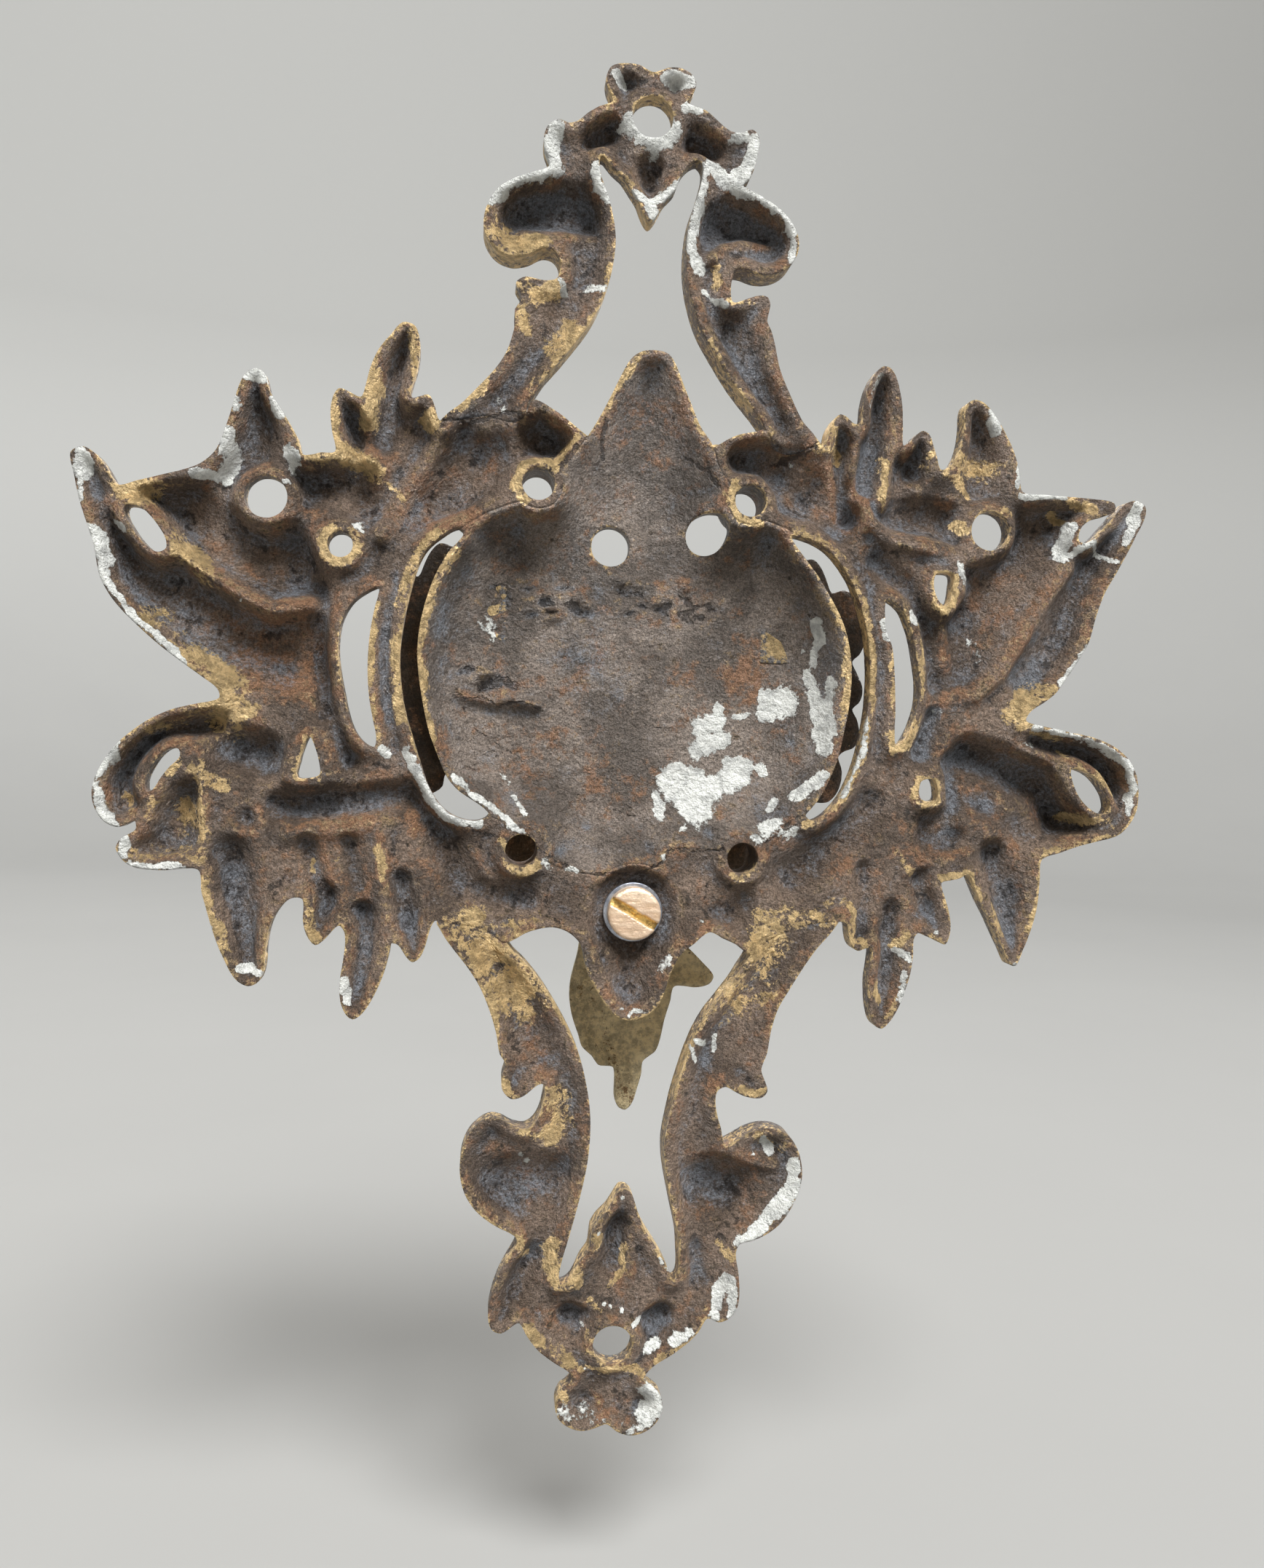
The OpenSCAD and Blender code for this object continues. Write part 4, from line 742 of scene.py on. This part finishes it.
def casting(name, brown, dark_share=0.62, grain=1.0, gilt=GILT, shine=0.62):
    """Patinated brass: mottled brown, then the paints that the mesh's attributes ask for, with painted shade
    and sky sheen in sunk places and pale specks that are part dust and part painted glints.
    """
    m = Nodes(name)
    add, mul, mix, ramp, noise = m.add, m.mul, m.mix, m.ramp, m.noise

    def spread(value, by):
        return mul(m.math("SUBTRACT", value, 0.5), by)

    gold, white, blue, red, proud, crease = [m.attribute(key) for key in PAINTS]
    broad, mid = noise(75, 6, 0.62), noise(300, 7, 0.68)
    fine, grit, dust = noise(1500, 5, 0.66), noise(3400, 3, 0.6), noise(800, 7, 0.74)
    colour = mix(ramp(broad, 0.41, 0.59), tuple(c * 0.50 for c in brown), brown)
    rusty = add(mul(red, 0.22), add(spread(noise(170, 6, 0.66), 1.5), spread(dust, 1.0)))
    rusty = add(rusty, mul(proud, 0.12))
    colour = mix(ramp(rusty, 0.04, 0.30, 0, 0.88), colour, RUST)
    # Blue-grey: random bloom, plus painted sky sheen in the hollows, where proud is negative, and in the
    # placed blue patches.
    bloom_and_sheen = add(mul(blue, 0.24), add(spread(noise(210, 7, 0.72), 1.3), spread(fine, 1.1)))
    bloom_and_sheen = add(bloom_and_sheen, mul(proud, -0.34))
    colour = mix(ramp(bloom_and_sheen, 0.10, 0.60, 0, 0.80), colour, SLATE)
    ochre = add(add(spread(mid, 1.3), spread(dust, 1.5)), mul(proud, 0.16))
    colour = mix(ramp(ochre, 0.15, 0.36, 0, 0.85), colour, OCHRE)
    # Pale specks, part dust and part painted glints.
    dust_and_glints = add(spread(dust, 1.6), spread(noise(90, 6, 0.7), 1.2))
    colour = mix(ramp(dust_and_glints, 0.20, 0.60, 0, 0.55), colour, PALE_DUST_GLINT)
    # Dark blotches, and painted shade that darkens the hollows a little.
    blotches_and_hollow_shade = add(add(spread(mid, 1.7), spread(dust, 1.2)), mul(proud, -0.06))
    colour = mix(ramp(blotches_and_hollow_shade, 0.25 - 0.30 * dark_share, 0.46 - 0.24 * dark_share, 0, 0.88), colour, DARK)
    shade = ramp(add(spread(grit, 1.2), spread(fine, 1.0)), -0.30, 0.36, 0.50, 1.40)
    colour = mix(1.0, colour, m.new("CombineXYZ", X=shade, Y=shade, Z=shade).outputs[0], "MULTIPLY")
    # Dark cracks and seams, and painted shade in the furrows of the dish's wrinkles.
    cracks_and_furrow_shade = ramp(add(crease, spread(noise(900, 4, 0.6), 1.8)), 0.52, 0.80)
    colour = mix(mul(cracks_and_furrow_shade, 0.72), colour, DARK)
    # gilding
    gilt_on = ramp(add(add(gold, spread(dust, 1.9)), spread(fine, 1.3)), 0.46, 0.66)
    leafing = mix(ramp(noise(520, 6, 0.72), 0.36, 0.62), tuple(c * 0.5 for c in gilt), gilt)
    colour = mix(mul(gilt_on, 0.92), colour, leafing)
    # white paint, chipped and dirty
    flake = add(white, add(spread(noise(520, 6, 0.7), 1.7), spread(fine, 0.8)))
    chalk_on = ramp(flake, 0.50, 0.66)
    chalk = mix(ramp(noise(380, 6, 0.7), 0.36, 0.58), CHALK_GREY, CHALK)
    chalk = mix(ramp(noise(1100, 5, 0.7), 0.60, 0.72, 0, 0.5), chalk, CHALK_DIRT)
    colour = mix(chalk_on, colour, chalk)
    # metal, gloss and grain
    bare = m.math("SUBTRACT", 1.0, chalk_on, clamp=True)
    metal = mul(bare, ramp(gilt_on, 0, 1, 0.2, shine))
    gloss = add(ramp(noise(430, 6, 0.66), 0.3, 0.7, 0.28, 0.56), mul(chalk_on, 0.25))
    height = add(mul(fine, 0.8 * grain), mul(noise(520, 6, 0.66), 1.9 * grain))
    height = add(height, mul(grit, 0.16 * grain))
    height = add(height, mul(chalk_on, 0.35))
    height = m.math("SUBTRACT", height, mul(cracks_and_furrow_shade, 0.8))
    return m.set(Base_Color=colour, Metallic=metal, Roughness=gloss, Normal=m.bump(height, 0.0017))


def plain_metal(name, base, worn, rough):
    m = Nodes(name)
    tone = m.mix(m.ramp(m.noise(420, 5, 0.65), 0.35, 0.65), worn, base)
    tone = m.mix(m.ramp(m.noise(1300, 5, 0.7), 0.60, 0.70, 0, 0.7), tone, DARK)
    gloss = m.ramp(m.noise(700, 5, 0.6), 0.3, 0.7, rough, rough + 0.25)
    height = m.add(m.mul(m.noise(1600, 4, 0.6), 0.4), m.mul(m.noise(300, 4, 0.6), 0.6))
    return m.set(Base_Color=tone, Metallic=0.85, Roughness=gloss, Normal=m.bump(height, 0.0004, 0.4))


bronze = casting("aged_bronze", BROWN)
dish_bronze = casting("dish_bronze", (0.33, 0.27, 0.225), 0.15, 1.1)
knocker_bronze = casting("knocker_bronze", (0.10, 0.068, 0.046), 0.9, 0.7)
brass = plain_metal("stud_brass", (0.58, 0.38, 0.14), (0.30, 0.18, 0.07), 0.35)
steel = plain_metal("washer_steel", (0.50, 0.52, 0.56), (0.24, 0.26, 0.31), 0.25)
dark_steel = plain_metal("pin_steel", (0.14, 0.13, 0.12), (0.06, 0.055, 0.05), 0.4)
cap_gilt = plain_metal("cap_brass", (0.60, 0.41, 0.15), (0.30, 0.19, 0.07), 0.38)

# ---------------------------------------------------------------- the four plate castings

PIECES = [("backplate", "plate_casting", bronze, "aged_bronze"),
          ("cartouche_dome", "dome_casting", dish_bronze, "dish_bronze"),
          ("crest_upper", "upper_crest_casting", bronze, "aged_bronze"),
          ("crest_lower", "lower_crest_casting", bronze, "aged_bronze")]
raw = {node: face_loops(node, lens if node == "cartouche_dome" else level(0.0)) for node, *_ in PIECES}
loops_of = {node: [respace(q, 0.5) for q in found] for node, found in raw.items()}
# The screw's seat is one smooth hollow, closed under the washer.
loops_of["backplate"] = [q for q in loops_of["backplate"] if np.linalg.norm(q.mean(0) - SCREW) > 1]


def free_edges(node):
    """Points along this casting's outline that don't touch another casting."""
    mine = np.vstack(loops_of[node])
    others = [np.vstack([respace(q, 0.25) for q in raw[o]]) for o in raw if o != node]
    return mine[nearest(mine, np.vstack(others)) > 0.22]


free = np.vstack([free_edges(node) for node in raw])
dish_rim = respace(max(raw["cartouche_dome"], key=lambda q: abs(area(q))), 0.25)
KNOCKER_CLEARANCE = 9.3  # the highest that the plate's front may come under the knocker

for node, name, material, slot_name in PIECES:
    pts, tri = spread_mesh(loops_of[node], PITCH)
    if area(pts[tri[0]]) < 0:
        tri = tri[:, ::-1]
    edge, wall = nearest(pts, free), nearest(pts, dish_rim)
    back = back_depth(pts, edge, wall, node == "cartouche_dome")
    fixed = np.zeros(len(pts), bool)
    fixed[np.unique(border_edges(tri))] = True
    back = relax(tri, back, 3, fixed & (edge > 0.3))
    thick = 3.0 + 0.6 * smoothstep(edge / 3.0)
    crown = 0.9 * smoothstep(edge / 1.6)
    front = np.maximum(back + thick, front_edge_depth(pts) + crown)
    front = np.maximum(relax(tri, front, 5), back + 1.6)
    near_knocker = bump(np.maximum(np.abs(np.abs(pts[:, 0]) - 37) / 14, np.abs(pts[:, 1] - 30) / 16))
    front = np.where(near_knocker > 0.05, np.minimum(front, KNOCKER_CLEARANCE), front)
    stud = disc(pts, SCREW, 10.4, 2.6)
    front = front * (1 - stud) + STUD_FLOOR * stud
    for boss in BOSSES:
        post = disc(pts, boss, 6.2, 1.6)
        front = front * (1 - post) + np.maximum(front, POST_DEPTH) * post
    # paint on the back, gilding on the front, and painted shade and sky sheen in the hollows
    zero = np.zeros(len(pts))
    jitter = pts + np.stack([noise_a(pts, 3.0), noise_b(pts, 3.0)], 1) * 0.75
    jitter += np.stack([noise_b(pts, 1.3), noise_a(pts, 1.3)], 1) * 0.3
    # How far each point stands above or sinks below its surroundings; the material turns the sunk places
    # darker and bluer as painted shade and sky sheen.
    proud = np.clip((relax(tri, back, 14) - back) / 0.30, -1, 1)
    proud_front = np.clip((front - relax(tri, front, 14)) / 0.30, -1, 1)
    worn_edge = np.clip(0.52 + 0.62 * noise_b(pts, 13.0), 0, 1) * np.clip(1.3 - edge / 0.7, 0, 1)
    gold = np.maximum(painted(jitter, GOLD, 0.62) * (0.82 + 0.70 * noise_b(pts, 3.6)), worn_edge)
    gold = np.maximum(gold, 0.20 * np.clip(proud, 0, 1))
    holes = np.min([np.linalg.norm(pts - at, axis=1) for at in BOSSES + DOME_HOLES], 0)
    # Gilding on the front, thinner in its valleys as painted shade.
    front_gold = (0.96 + 0.26 * noise_a(pts, 9.0) + 0.55 * proud_front) * smoothstep((holes - 3.2) / 2.2)
    # Painted shade in the furrows of the dish's wrinkles, carried with the cracks.
    furrows = np.clip(-2.4 * folds(pts), 0, 0.8) * (node == "cartouche_dome")
    attrs = looks(len(pts), gold=(gold, front_gold), white=(painted(jitter, WHITE, 0.74), zero + 0.05),
                  blue=(glow(pts, BLUE_SHEEN), zero), red=(glow(pts, RED), zero + 0.2), proud=(proud, proud_front),
                  crease=(np.maximum(painted(pts, CREASES, 0.85), furrows), zero))
    assign(shell(name, pts, tri, back, front, attrs, material), "plate", node, slot_name)

# ---------------------------------------------------------------- turned and small parts

HINGE_V, HINGE_D, BORE_R, EAR_R = 29.5, 21.0, 2.06, 4.6


def lathe(name, profile, place, material, attrs=None, steps=72, closed=False):
    """A turned piece: profile is (along, radius), place turns (along, a, b) into the row frame."""
    rows, verts, faces = [], [], []
    for along, radius in profile:
        count = 1 if radius <= 1e-6 else steps
        rows.append(list(range(len(verts), len(verts) + count)))
        turns = [2 * math.pi * i / steps for i in range(count)]
        verts += [(along, radius * math.cos(t), radius * math.sin(t)) for t in turns]
    pairs = list(zip(rows[:-1], rows[1:])) + ([(rows[-1], rows[0])] if closed else [])
    for a, b in pairs:
        for i in range(steps):
            j = (i + 1) % steps
            if len(a) == 1:
                faces.append((a[0], b[i], b[j]))
            elif len(b) == 1:
                faces.append((a[i], b[0], a[j]))
            else:
                faces.append((a[i], b[i], b[j], a[j]))
    q = np.array(verts)
    obj = make_object(name, place(q[:, 0], q[:, 1], q[:, 2]), faces, attrs or {}, material)
    obj.data.validate()
    face_outwards(obj.data)
    return obj


def soften(profile, r=0.35, steps=4):
    """The same profile with its inner corners rounded."""
    out = [profile[0]]
    for a, b, c in zip(profile[:-2], profile[1:-1], profile[2:]):
        a, b, c = map(np.array, (a, b, c))
        la, lc = np.linalg.norm(a - b), np.linalg.norm(c - b)
        k = min(r, la / 2, lc / 2)
        p0, p1 = b + (a - b) / max(la, 1e-9) * k, b + (c - b) / max(lc, 1e-9) * k
        for t in np.linspace(0, 1, steps):
            out.append(tuple((1 - t) ** 2 * p0 + 2 * t * (1 - t) * b + t * t * p1))
    return out + [profile[-1]]


def across(along, a, b):
    """An axis through the hinge, from left to right."""
    return to_row(along, HINGE_V + a, HINGE_D + b)


def through(at):
    """An axis from the back to the front at one place."""
    return lambda along, a, b: to_row(at[0] + a, at[1] + b, along)


STUD = soften([(8.2, 0), (8.2, 6.5), (10.2, 6.5), (10.8, 6.0), (11.4, 6.4), (14.2, 6.4), (15.0, 5.4),
               (15.0, 0)], 0.4)
WASHER = soften([(3.42, 3.2), (3.42, 5.7), (4.58, 5.7), (4.58, 3.2), (3.42, 3.2)], 0.25)
PAD = soften([(15.2, 0), (15.2, 4.6), (16.0, 5.5), (18.2, 5.5), (19.0, 5.0), (19.0, 0)], 0.5)
CAP = soften([(18.75, 2.02), (18.75, 4.0), (20.3, 4.0), (20.6, 2.9), (21.3, 2.5), (22.0, 2.8), (22.4, 3.1),
              (23.2, 3.3), (24.4, 3.2), (25.6, 2.6), (26.5, 1.6), (26.95, 0.7), (27.0, 0)], 0.3)
assign(lathe("strike_stud_turned", STUD, through(SCREW), brass), "plate", "strike_stud", "stud_brass")
assign(lathe("washer_turned", WASHER, through(SCREW), steel), "plate", "stud_washer", "washer_steel")
assign(lathe("striker_pad_turned", PAD, through(SCREW), brass), "knocker", "striker_pad", "stud_brass")
for side, node in ((1, "pin_cap_left"), (-1, "pin_cap_right")):
    cap = lathe(node + "_turned", [(side * x, r) for x, r in CAP], across, cap_gilt)
    assign(cap, "plate", node, "cap_brass")

# Screw head: a disc with its worn slot, its rim and its shank below.
HEAD_R, HEAD_DEPTH, SHANK_R = 5.0, 3.4, 2.98
pts, tri = spread_mesh([ring((0, 0), HEAD_R, 120)], 0.24)
radius = np.linalg.norm(pts, axis=1)
slot_turn = math.radians(-30)
side_way = -pts[:, 0] * math.sin(slot_turn) + pts[:, 1] * math.cos(slot_turn)
along_way = pts[:, 0] * math.cos(slot_turn) + pts[:, 1] * math.sin(slot_turn)
ragged = 0.16 * noise_a(pts, 1.1) + 0.10 * noise_b(pts, 0.5)
groove = smoothstep((0.92 + ragged - np.abs(side_way)) / 0.42)
shut = smoothstep((1.5 - np.abs(along_way - 0.4)) / 1.2) * smoothstep((0.5 + side_way) / 0.8)
rim_drop = 0.35 * smoothstep((radius - 4.3) / 0.7) ** 2
near = 0.42 + rim_drop + 1.15 * groove * (1 - 0.55 * shut) + 0.03 * noise_b(pts, 0.8)
gold_slot = np.clip(groove * 1.15 + 0.15 * noise_a(pts, 0.9), 0, 1)
m = Nodes("screw_copper")
streak = m.noise(900, 5, 0.6, stretch=(0.15, 1.0, 1.0))
tone = m.mix(m.ramp(streak, 0.36, 0.64), (0.66, 0.46, 0.31), (0.88, 0.68, 0.50))
tone = m.mix(m.ramp(m.noise(480, 6, 0.7), 0.54, 0.70, 0, 0.8), tone, (0.50, 0.36, 0.24))
slot_tone = m.mix(m.ramp(m.noise(900, 5, 0.7), 0.35, 0.6), (0.34, 0.20, 0.06), (0.86, 0.60, 0.20))
tone = m.mix(m.attribute("gold"), tone, slot_tone)
screw_metal = m.set(Base_Color=tone, Metallic=0.55, Roughness=m.ramp(streak, 0.3, 0.7, 0.30, 0.48),
                    Normal=m.bump(m.add(streak, m.noise(1400, 4, 0.6)), 0.0003, 0.6))
head = shell("screw_head", pts, tri, near, np.full(len(pts), HEAD_DEPTH),
             looks(len(pts), gold=(gold_slot, np.zeros(len(pts)))), screw_metal,
             lambda a, b, c: to_row(SCREW[0] + a, SCREW[1] + b, c))
assign(head, "plate", "stud_screw", "screw_copper")
SHANK = [(3.3, 0), (3.3, SHANK_R), (12.6, SHANK_R), (13.0, 2.6), (13.0, 0)]
assign(lathe("screw_shank", SHANK, through(SCREW), brass), "plate", None, "screw_copper")

# Two ears that carry the pin, each flaring into the dish.
EAR_INNER, EAR_OUTER, FLARE_D, ROOT_D = 13.6, 18.6, 11.5, 7.0
FLARE = [(33.9, 19.5), (33.7, 15.5), (33.9, 12.0), (34.6, 9.2), (35.0, ROOT_D),
         (22.0, ROOT_D), (23.0, 9.6), (24.8, 12.4), (25.2, 16.0), (25.1, 19.6)]
for side, name in ((1, "ear_left"), (-1, "ear_right")):
    turns = np.radians(np.arange(200, -21, -12))
    arc = [(HINGE_V + EAR_R * math.cos(t), HINGE_D + EAR_R * math.sin(t)) for t in turns]
    outline = respace(np.array(arc + FLARE), 0.5)
    pts, tri = spread_mesh([outline, ring((HINGE_V, HINGE_D), BORE_R, 36)], 0.6)
    if area(pts[tri[0]]) > 0:
        tri = tri[:, ::-1]
    bevel = 0.5 * (1 - smoothstep(nearest(pts, outline) / 0.8))
    low, high = np.full(len(pts), EAR_INNER) + bevel, np.full(len(pts), EAR_OUTER) - bevel

    def ear_place(a, b, c, side=side):
        at = np.stack([side * c, a], 1)
        root = bowl(at, nearest(at, dish_rim)) + 1.9
        deep = np.where(b < FLARE_D, root + (FLARE_D - root) * (b - ROOT_D) / 4.5, b)
        return to_row(side * c, a, deep)

    dull = np.full(len(pts), 0.25)
    ear = shell(name, pts, tri, low, high, looks(len(pts), gold=(dull, dull)), bronze, ear_place)
    face_outwards(ear.data)
    assign(ear, "plate", None, "dish_bronze")

# ---------------------------------------------------------------- the knocker

KNOCKER_BACK, LEAF_BACK = 19.0, 25.0
# The carved lines of its right half: (depth, radius, u1, v1, u2, v2, ...).
KNOCKER_LINES = [
    (1.3, 1.3, 26, 24, 31, 33, 36, 34.6, 39.6, 31.4, 39.4, 26, 35, 23),
    (1.3, 1.2, 47, 17.8, 41, 17.2, 36.6, 14), (1.2, 1.2, 47.3, 8, 41, 9.4, 37, 12),
    (1.2, 1.2, 44.4, -2.2, 39, 1.6, 36.5, 8), (1.2, 1.2, 42.2, 31.4, 44, 27, 43, 21),
    (1.2, 1.2, 35.4, -6.6, 34, -3, 33, 1),
    (1.1, 1.1, 27, -9, 24, -17, 20, -25, 13, -31, 5, -33), (1.0, 1.0, 6, 21, 16, 19.6, 24, 19.4),
    (1.0, 1.1, 28, -13.4, 25, -8.5), (1.0, 1.0, 25.2, -26, 21, -20), (1.0, 1.0, 18, -35, 15, -27)]
KNOCKER_SPINE = (37, 30, 41, 18, 40, 6, 37, -2, 28, -10, 22, -20, 12, -29, 0, -31)
knock = [respace(q, 0.6) for q in face_loops("knocker_ring", level(KNOCKER_BACK)) if abs(area(q)) > 12]
pts, tri = spread_mesh(knock, PITCH)
edge = nearest(pts, np.vstack(knock))
mirror = np.stack([np.abs(pts[:, 0]), pts[:, 1]], 1)
carve = carved(np.zeros(len(pts)), mirror, KNOCKER_LINES)
hollow = 0.9 * bump(stroke_distance(mirror, KNOCKER_SPINE) / 3.4)
back = 20.1 - 1.05 * quarter_round(edge / 1.5) + hollow + 0.10 * noise_a(pts, 4)
front = 20.9 + 4.1 * quarter_round(edge / 4.2) - carve * smoothstep(edge / 1.5) + 0.12 * noise_b(pts, 5)
back = np.maximum(relax(tri, back, 2), KNOCKER_BACK + 0.02)
front = np.maximum(relax(tri, front, 1), back + 0.8)
zero = np.zeros(len(pts))
high_gold = 0.20 + 0.75 * np.clip((front - 23.4) / 1.5, 0, 1) + 0.3 * noise_a(pts, 8)
# Its carved lines get painted shade and sky sheen through a negative proud.
attrs = looks(len(pts), gold=(zero + 0.12, high_gold), blue=(zero + 0.3 * (noise_a(pts, 14) > 0.2), zero),
              proud=(zero, -np.clip(carve, 0, 1) * 0.8))
knocker = shell("knocker_casting", pts, tri, back, front, attrs, knocker_bronze)
assign(knocker, "knocker", "knocker_ring", "knocker_bronze")
HALF_BARREL = [(13.1, BORE_R), (13.1, 4.5), (11.2, 4.58), (10.6, 4.1), (10.0, 4.5), (9.4, 4.1), (8.6, 4.45)]
BARREL = soften([(-x, r) for x, r in HALF_BARREL] + [(0, 4.55)] + HALF_BARREL[::-1], 0.3) + [(0.0, BORE_R)]
flat = {key: np.full(len(BARREL) * 72, {"gold": 0.35, "blue": 0.1}.get(key, 0.0)) for key in PAINTS}
barrel = lathe("knocker_barrel", BARREL, across, knocker_bronze, flat, closed=True)
assign(barrel, "knocker", None, "knocker_bronze")

# The gilt leaf over the striker, hollow behind and veined in front.
VEINS = [
    (1.0, 1.1, 1, -23, 0.6, -40, 1.6, -55, 2.6, -74), (0.7, 0.8, 2, -42, 10, -45, 18, -49),
    (0.7, 0.8, 1, -48, 7, -54, 9, -60), (0.7, 0.8, 0, -46, -6, -52, -7, -61),
    (0.7, 0.8, 1, -34, -5, -40, -8, -50), (0.6, 0.8, 1.6, -58, 5, -64),
    (0.6, 0.8, 1.0, -58, -3.4, -64), (0.6, 0.8, 1.5, -30, 6, -34, 9, -41)]
leaf = [respace(q, 0.45) for q in face_loops("acanthus_leaf", level(LEAF_BACK)) if abs(area(q)) > 12]
pts, tri = spread_mesh(leaf, 0.55)
edge = nearest(pts, np.vstack(leaf))
veins = carved(np.zeros(len(pts)), pts, VEINS)
cup = smoothstep(edge / 3.4)
back = LEAF_BACK + 0.04 + 1.25 * cup * smoothstep((-40 - pts[:, 1]) / 4) + 0.12 * noise_a(pts, 2.4) * cup
front = 26.5 + 1.5 * smoothstep(edge / 2.2) - 0.5 * np.minimum(veins, 1.2) + 0.1 * noise_b(pts, 3)
front = np.maximum(front, back + 0.9)
zero = np.zeros(len(pts))
leaf_paint = casting("leaf_gilt", (0.46, 0.31, 0.16), 0.1, 0.7, gilt=(1.0, 0.86, 0.55), shine=0.12)
grime = 1.1 + 0.5 * noise_a(pts, 7.0) + 0.15 * noise_b(pts, 2.0)
# Painted shade: less gilt along the crease between the lobe and the main leaf on its back.
crease_shade = 0.35 * bump(stroke_distance(pts, (-1, -60, 0, -70, 3, -76)) / 3.4)
# Its veins get painted shade and sky sheen through a negative proud.
attrs = looks(len(pts), gold=(grime - crease_shade, grime + 0.1), red=(zero + 0.5, zero),
              proud=(zero, -np.clip(veins, 0, 1)))
gilt_leaf = shell("leaf_casting", pts, tri, back, front, attrs, leaf_paint)
assign(gilt_leaf, "knocker", "acanthus_leaf", "leaf_gilt")
RIVET = [(19.1, 0), (19.1, 1.5), (27.9, 1.5), (28.0, 2.6), (28.5, 2.6), (29.0, 2.1), (29.3, 1.2), (29.4, 0)]
for name, at, node in (("leaf_rivet_a", (1.0, -28.5), "leaf_rivets"), ("leaf_rivet_b", (1.0, -36.5), None)):
    assign(lathe(name, RIVET, through(at), cap_gilt, steps=40), "knocker", node, "leaf_gilt")

pin = NODES["hinge_pin"]
pin.data.materials.clear()
pin.data.materials.append(dark_steel)

# ---------------------------------------------------------------- stage, lights, camera

world = bpy.data.worlds.new("pale_room")
bpy.context.scene.world = world
world.use_nodes = True
world.node_tree.nodes["Background"].inputs[0].default_value = (0.86, 0.85, 0.83, 1)
world.node_tree.nodes["Background"].inputs[1].default_value = 0.85
bpy.context.scene.view_settings.view_transform = "Standard"


def soft_sun(name, at, power, colour=(1, 1, 1), spread=26):
    """A broad lamp far away in the direction of at."""
    lamp = bpy.data.lights.new(name, "SUN")
    lamp.energy, lamp.color, lamp.angle = power, colour, math.radians(spread)
    obj = bpy.data.objects.new(name, lamp)
    bpy.context.scene.collection.objects.link(obj)
    obj.rotation_mode = "QUATERNION"
    obj.rotation_quaternion = (-Vector(at)).to_track_quat("-Z", "Y")


soft_sun("key_above_back", (-0.16, 0.52, 0.84), 6.6, (0.97, 0.985, 1.0))
soft_sun("key_above_front", (-0.35, -0.60, 0.72), 4.6)

# A round floor that sweeps up into a wall.
FLOOR_Z, FLAT_R, SWEEP_R, WALL_TOP, STEPS = -0.205, 1.4, 1.0, 1.95, 96
turns = np.linspace(0.1, math.pi / 2, 14)
sweep = [(FLAT_R + SWEEP_R * math.sin(t), SWEEP_R - SWEEP_R * math.cos(t)) for t in turns]
profile = [(0.0, 0.0), (0.6, 0.0), (FLAT_R, 0.0)] + sweep + [(FLAT_R + SWEEP_R, WALL_TOP)]
floor_mesh = bpy.data.meshes.new("floor")
floor_mesh.from_pydata(
    [(r * math.cos(2 * math.pi * i / STEPS), r * math.sin(2 * math.pi * i / STEPS), h)
     for r, h in profile for i in range(STEPS)], [],
    [(k * STEPS + i, k * STEPS + (i + 1) % STEPS, (k + 1) * STEPS + (i + 1) % STEPS, (k + 1) * STEPS + i)
     for k in range(len(profile) - 1) for i in range(STEPS)])
floor_mesh.polygons.foreach_set("use_smooth", [True] * len(floor_mesh.polygons))
floor = bpy.data.objects.new("floor", floor_mesh)
floor.location = (0, 0, FLOOR_Z)
bpy.context.scene.collection.objects.link(floor)
pale = Nodes("pale_floor")
height = pale.new("SeparateXYZ", Vector=pale.place).outputs[2]
floor_tone = pale.mix(pale.noise(6, 3), (0.170, 0.168, 0.160), (0.182, 0.180, 0.171))
tone = pale.mix(pale.ramp(height, 0.0, 1.1), floor_tone, (0.31, 0.307, 0.294))
floor_mesh.materials.append(pale.set(Base_Color=tone, Roughness=0.9))

camera_data = bpy.data.cameras.new("camera")
camera = bpy.data.objects.new("camera", camera_data)
bpy.context.scene.collection.objects.link(camera)
camera_data.sensor_fit = "AUTO"
camera_data.sensor_width = 36.0
camera_data.lens = 27.58
camera_data.clip_start, camera_data.clip_end = 0.01, 20
eye = Vector((0.02874, 0.22327, -0.04232))
look = Vector((0.00064, 0.0, -0.05030)) - eye
roll = math.radians(1.3827)
turn = look.to_track_quat("-Z", "Y").to_matrix() @ Matrix.Rotation(roll, 3, "Z")
camera.matrix_world = Matrix.Translation(eye) @ turn.to_4x4()
bpy.context.scene.camera = camera
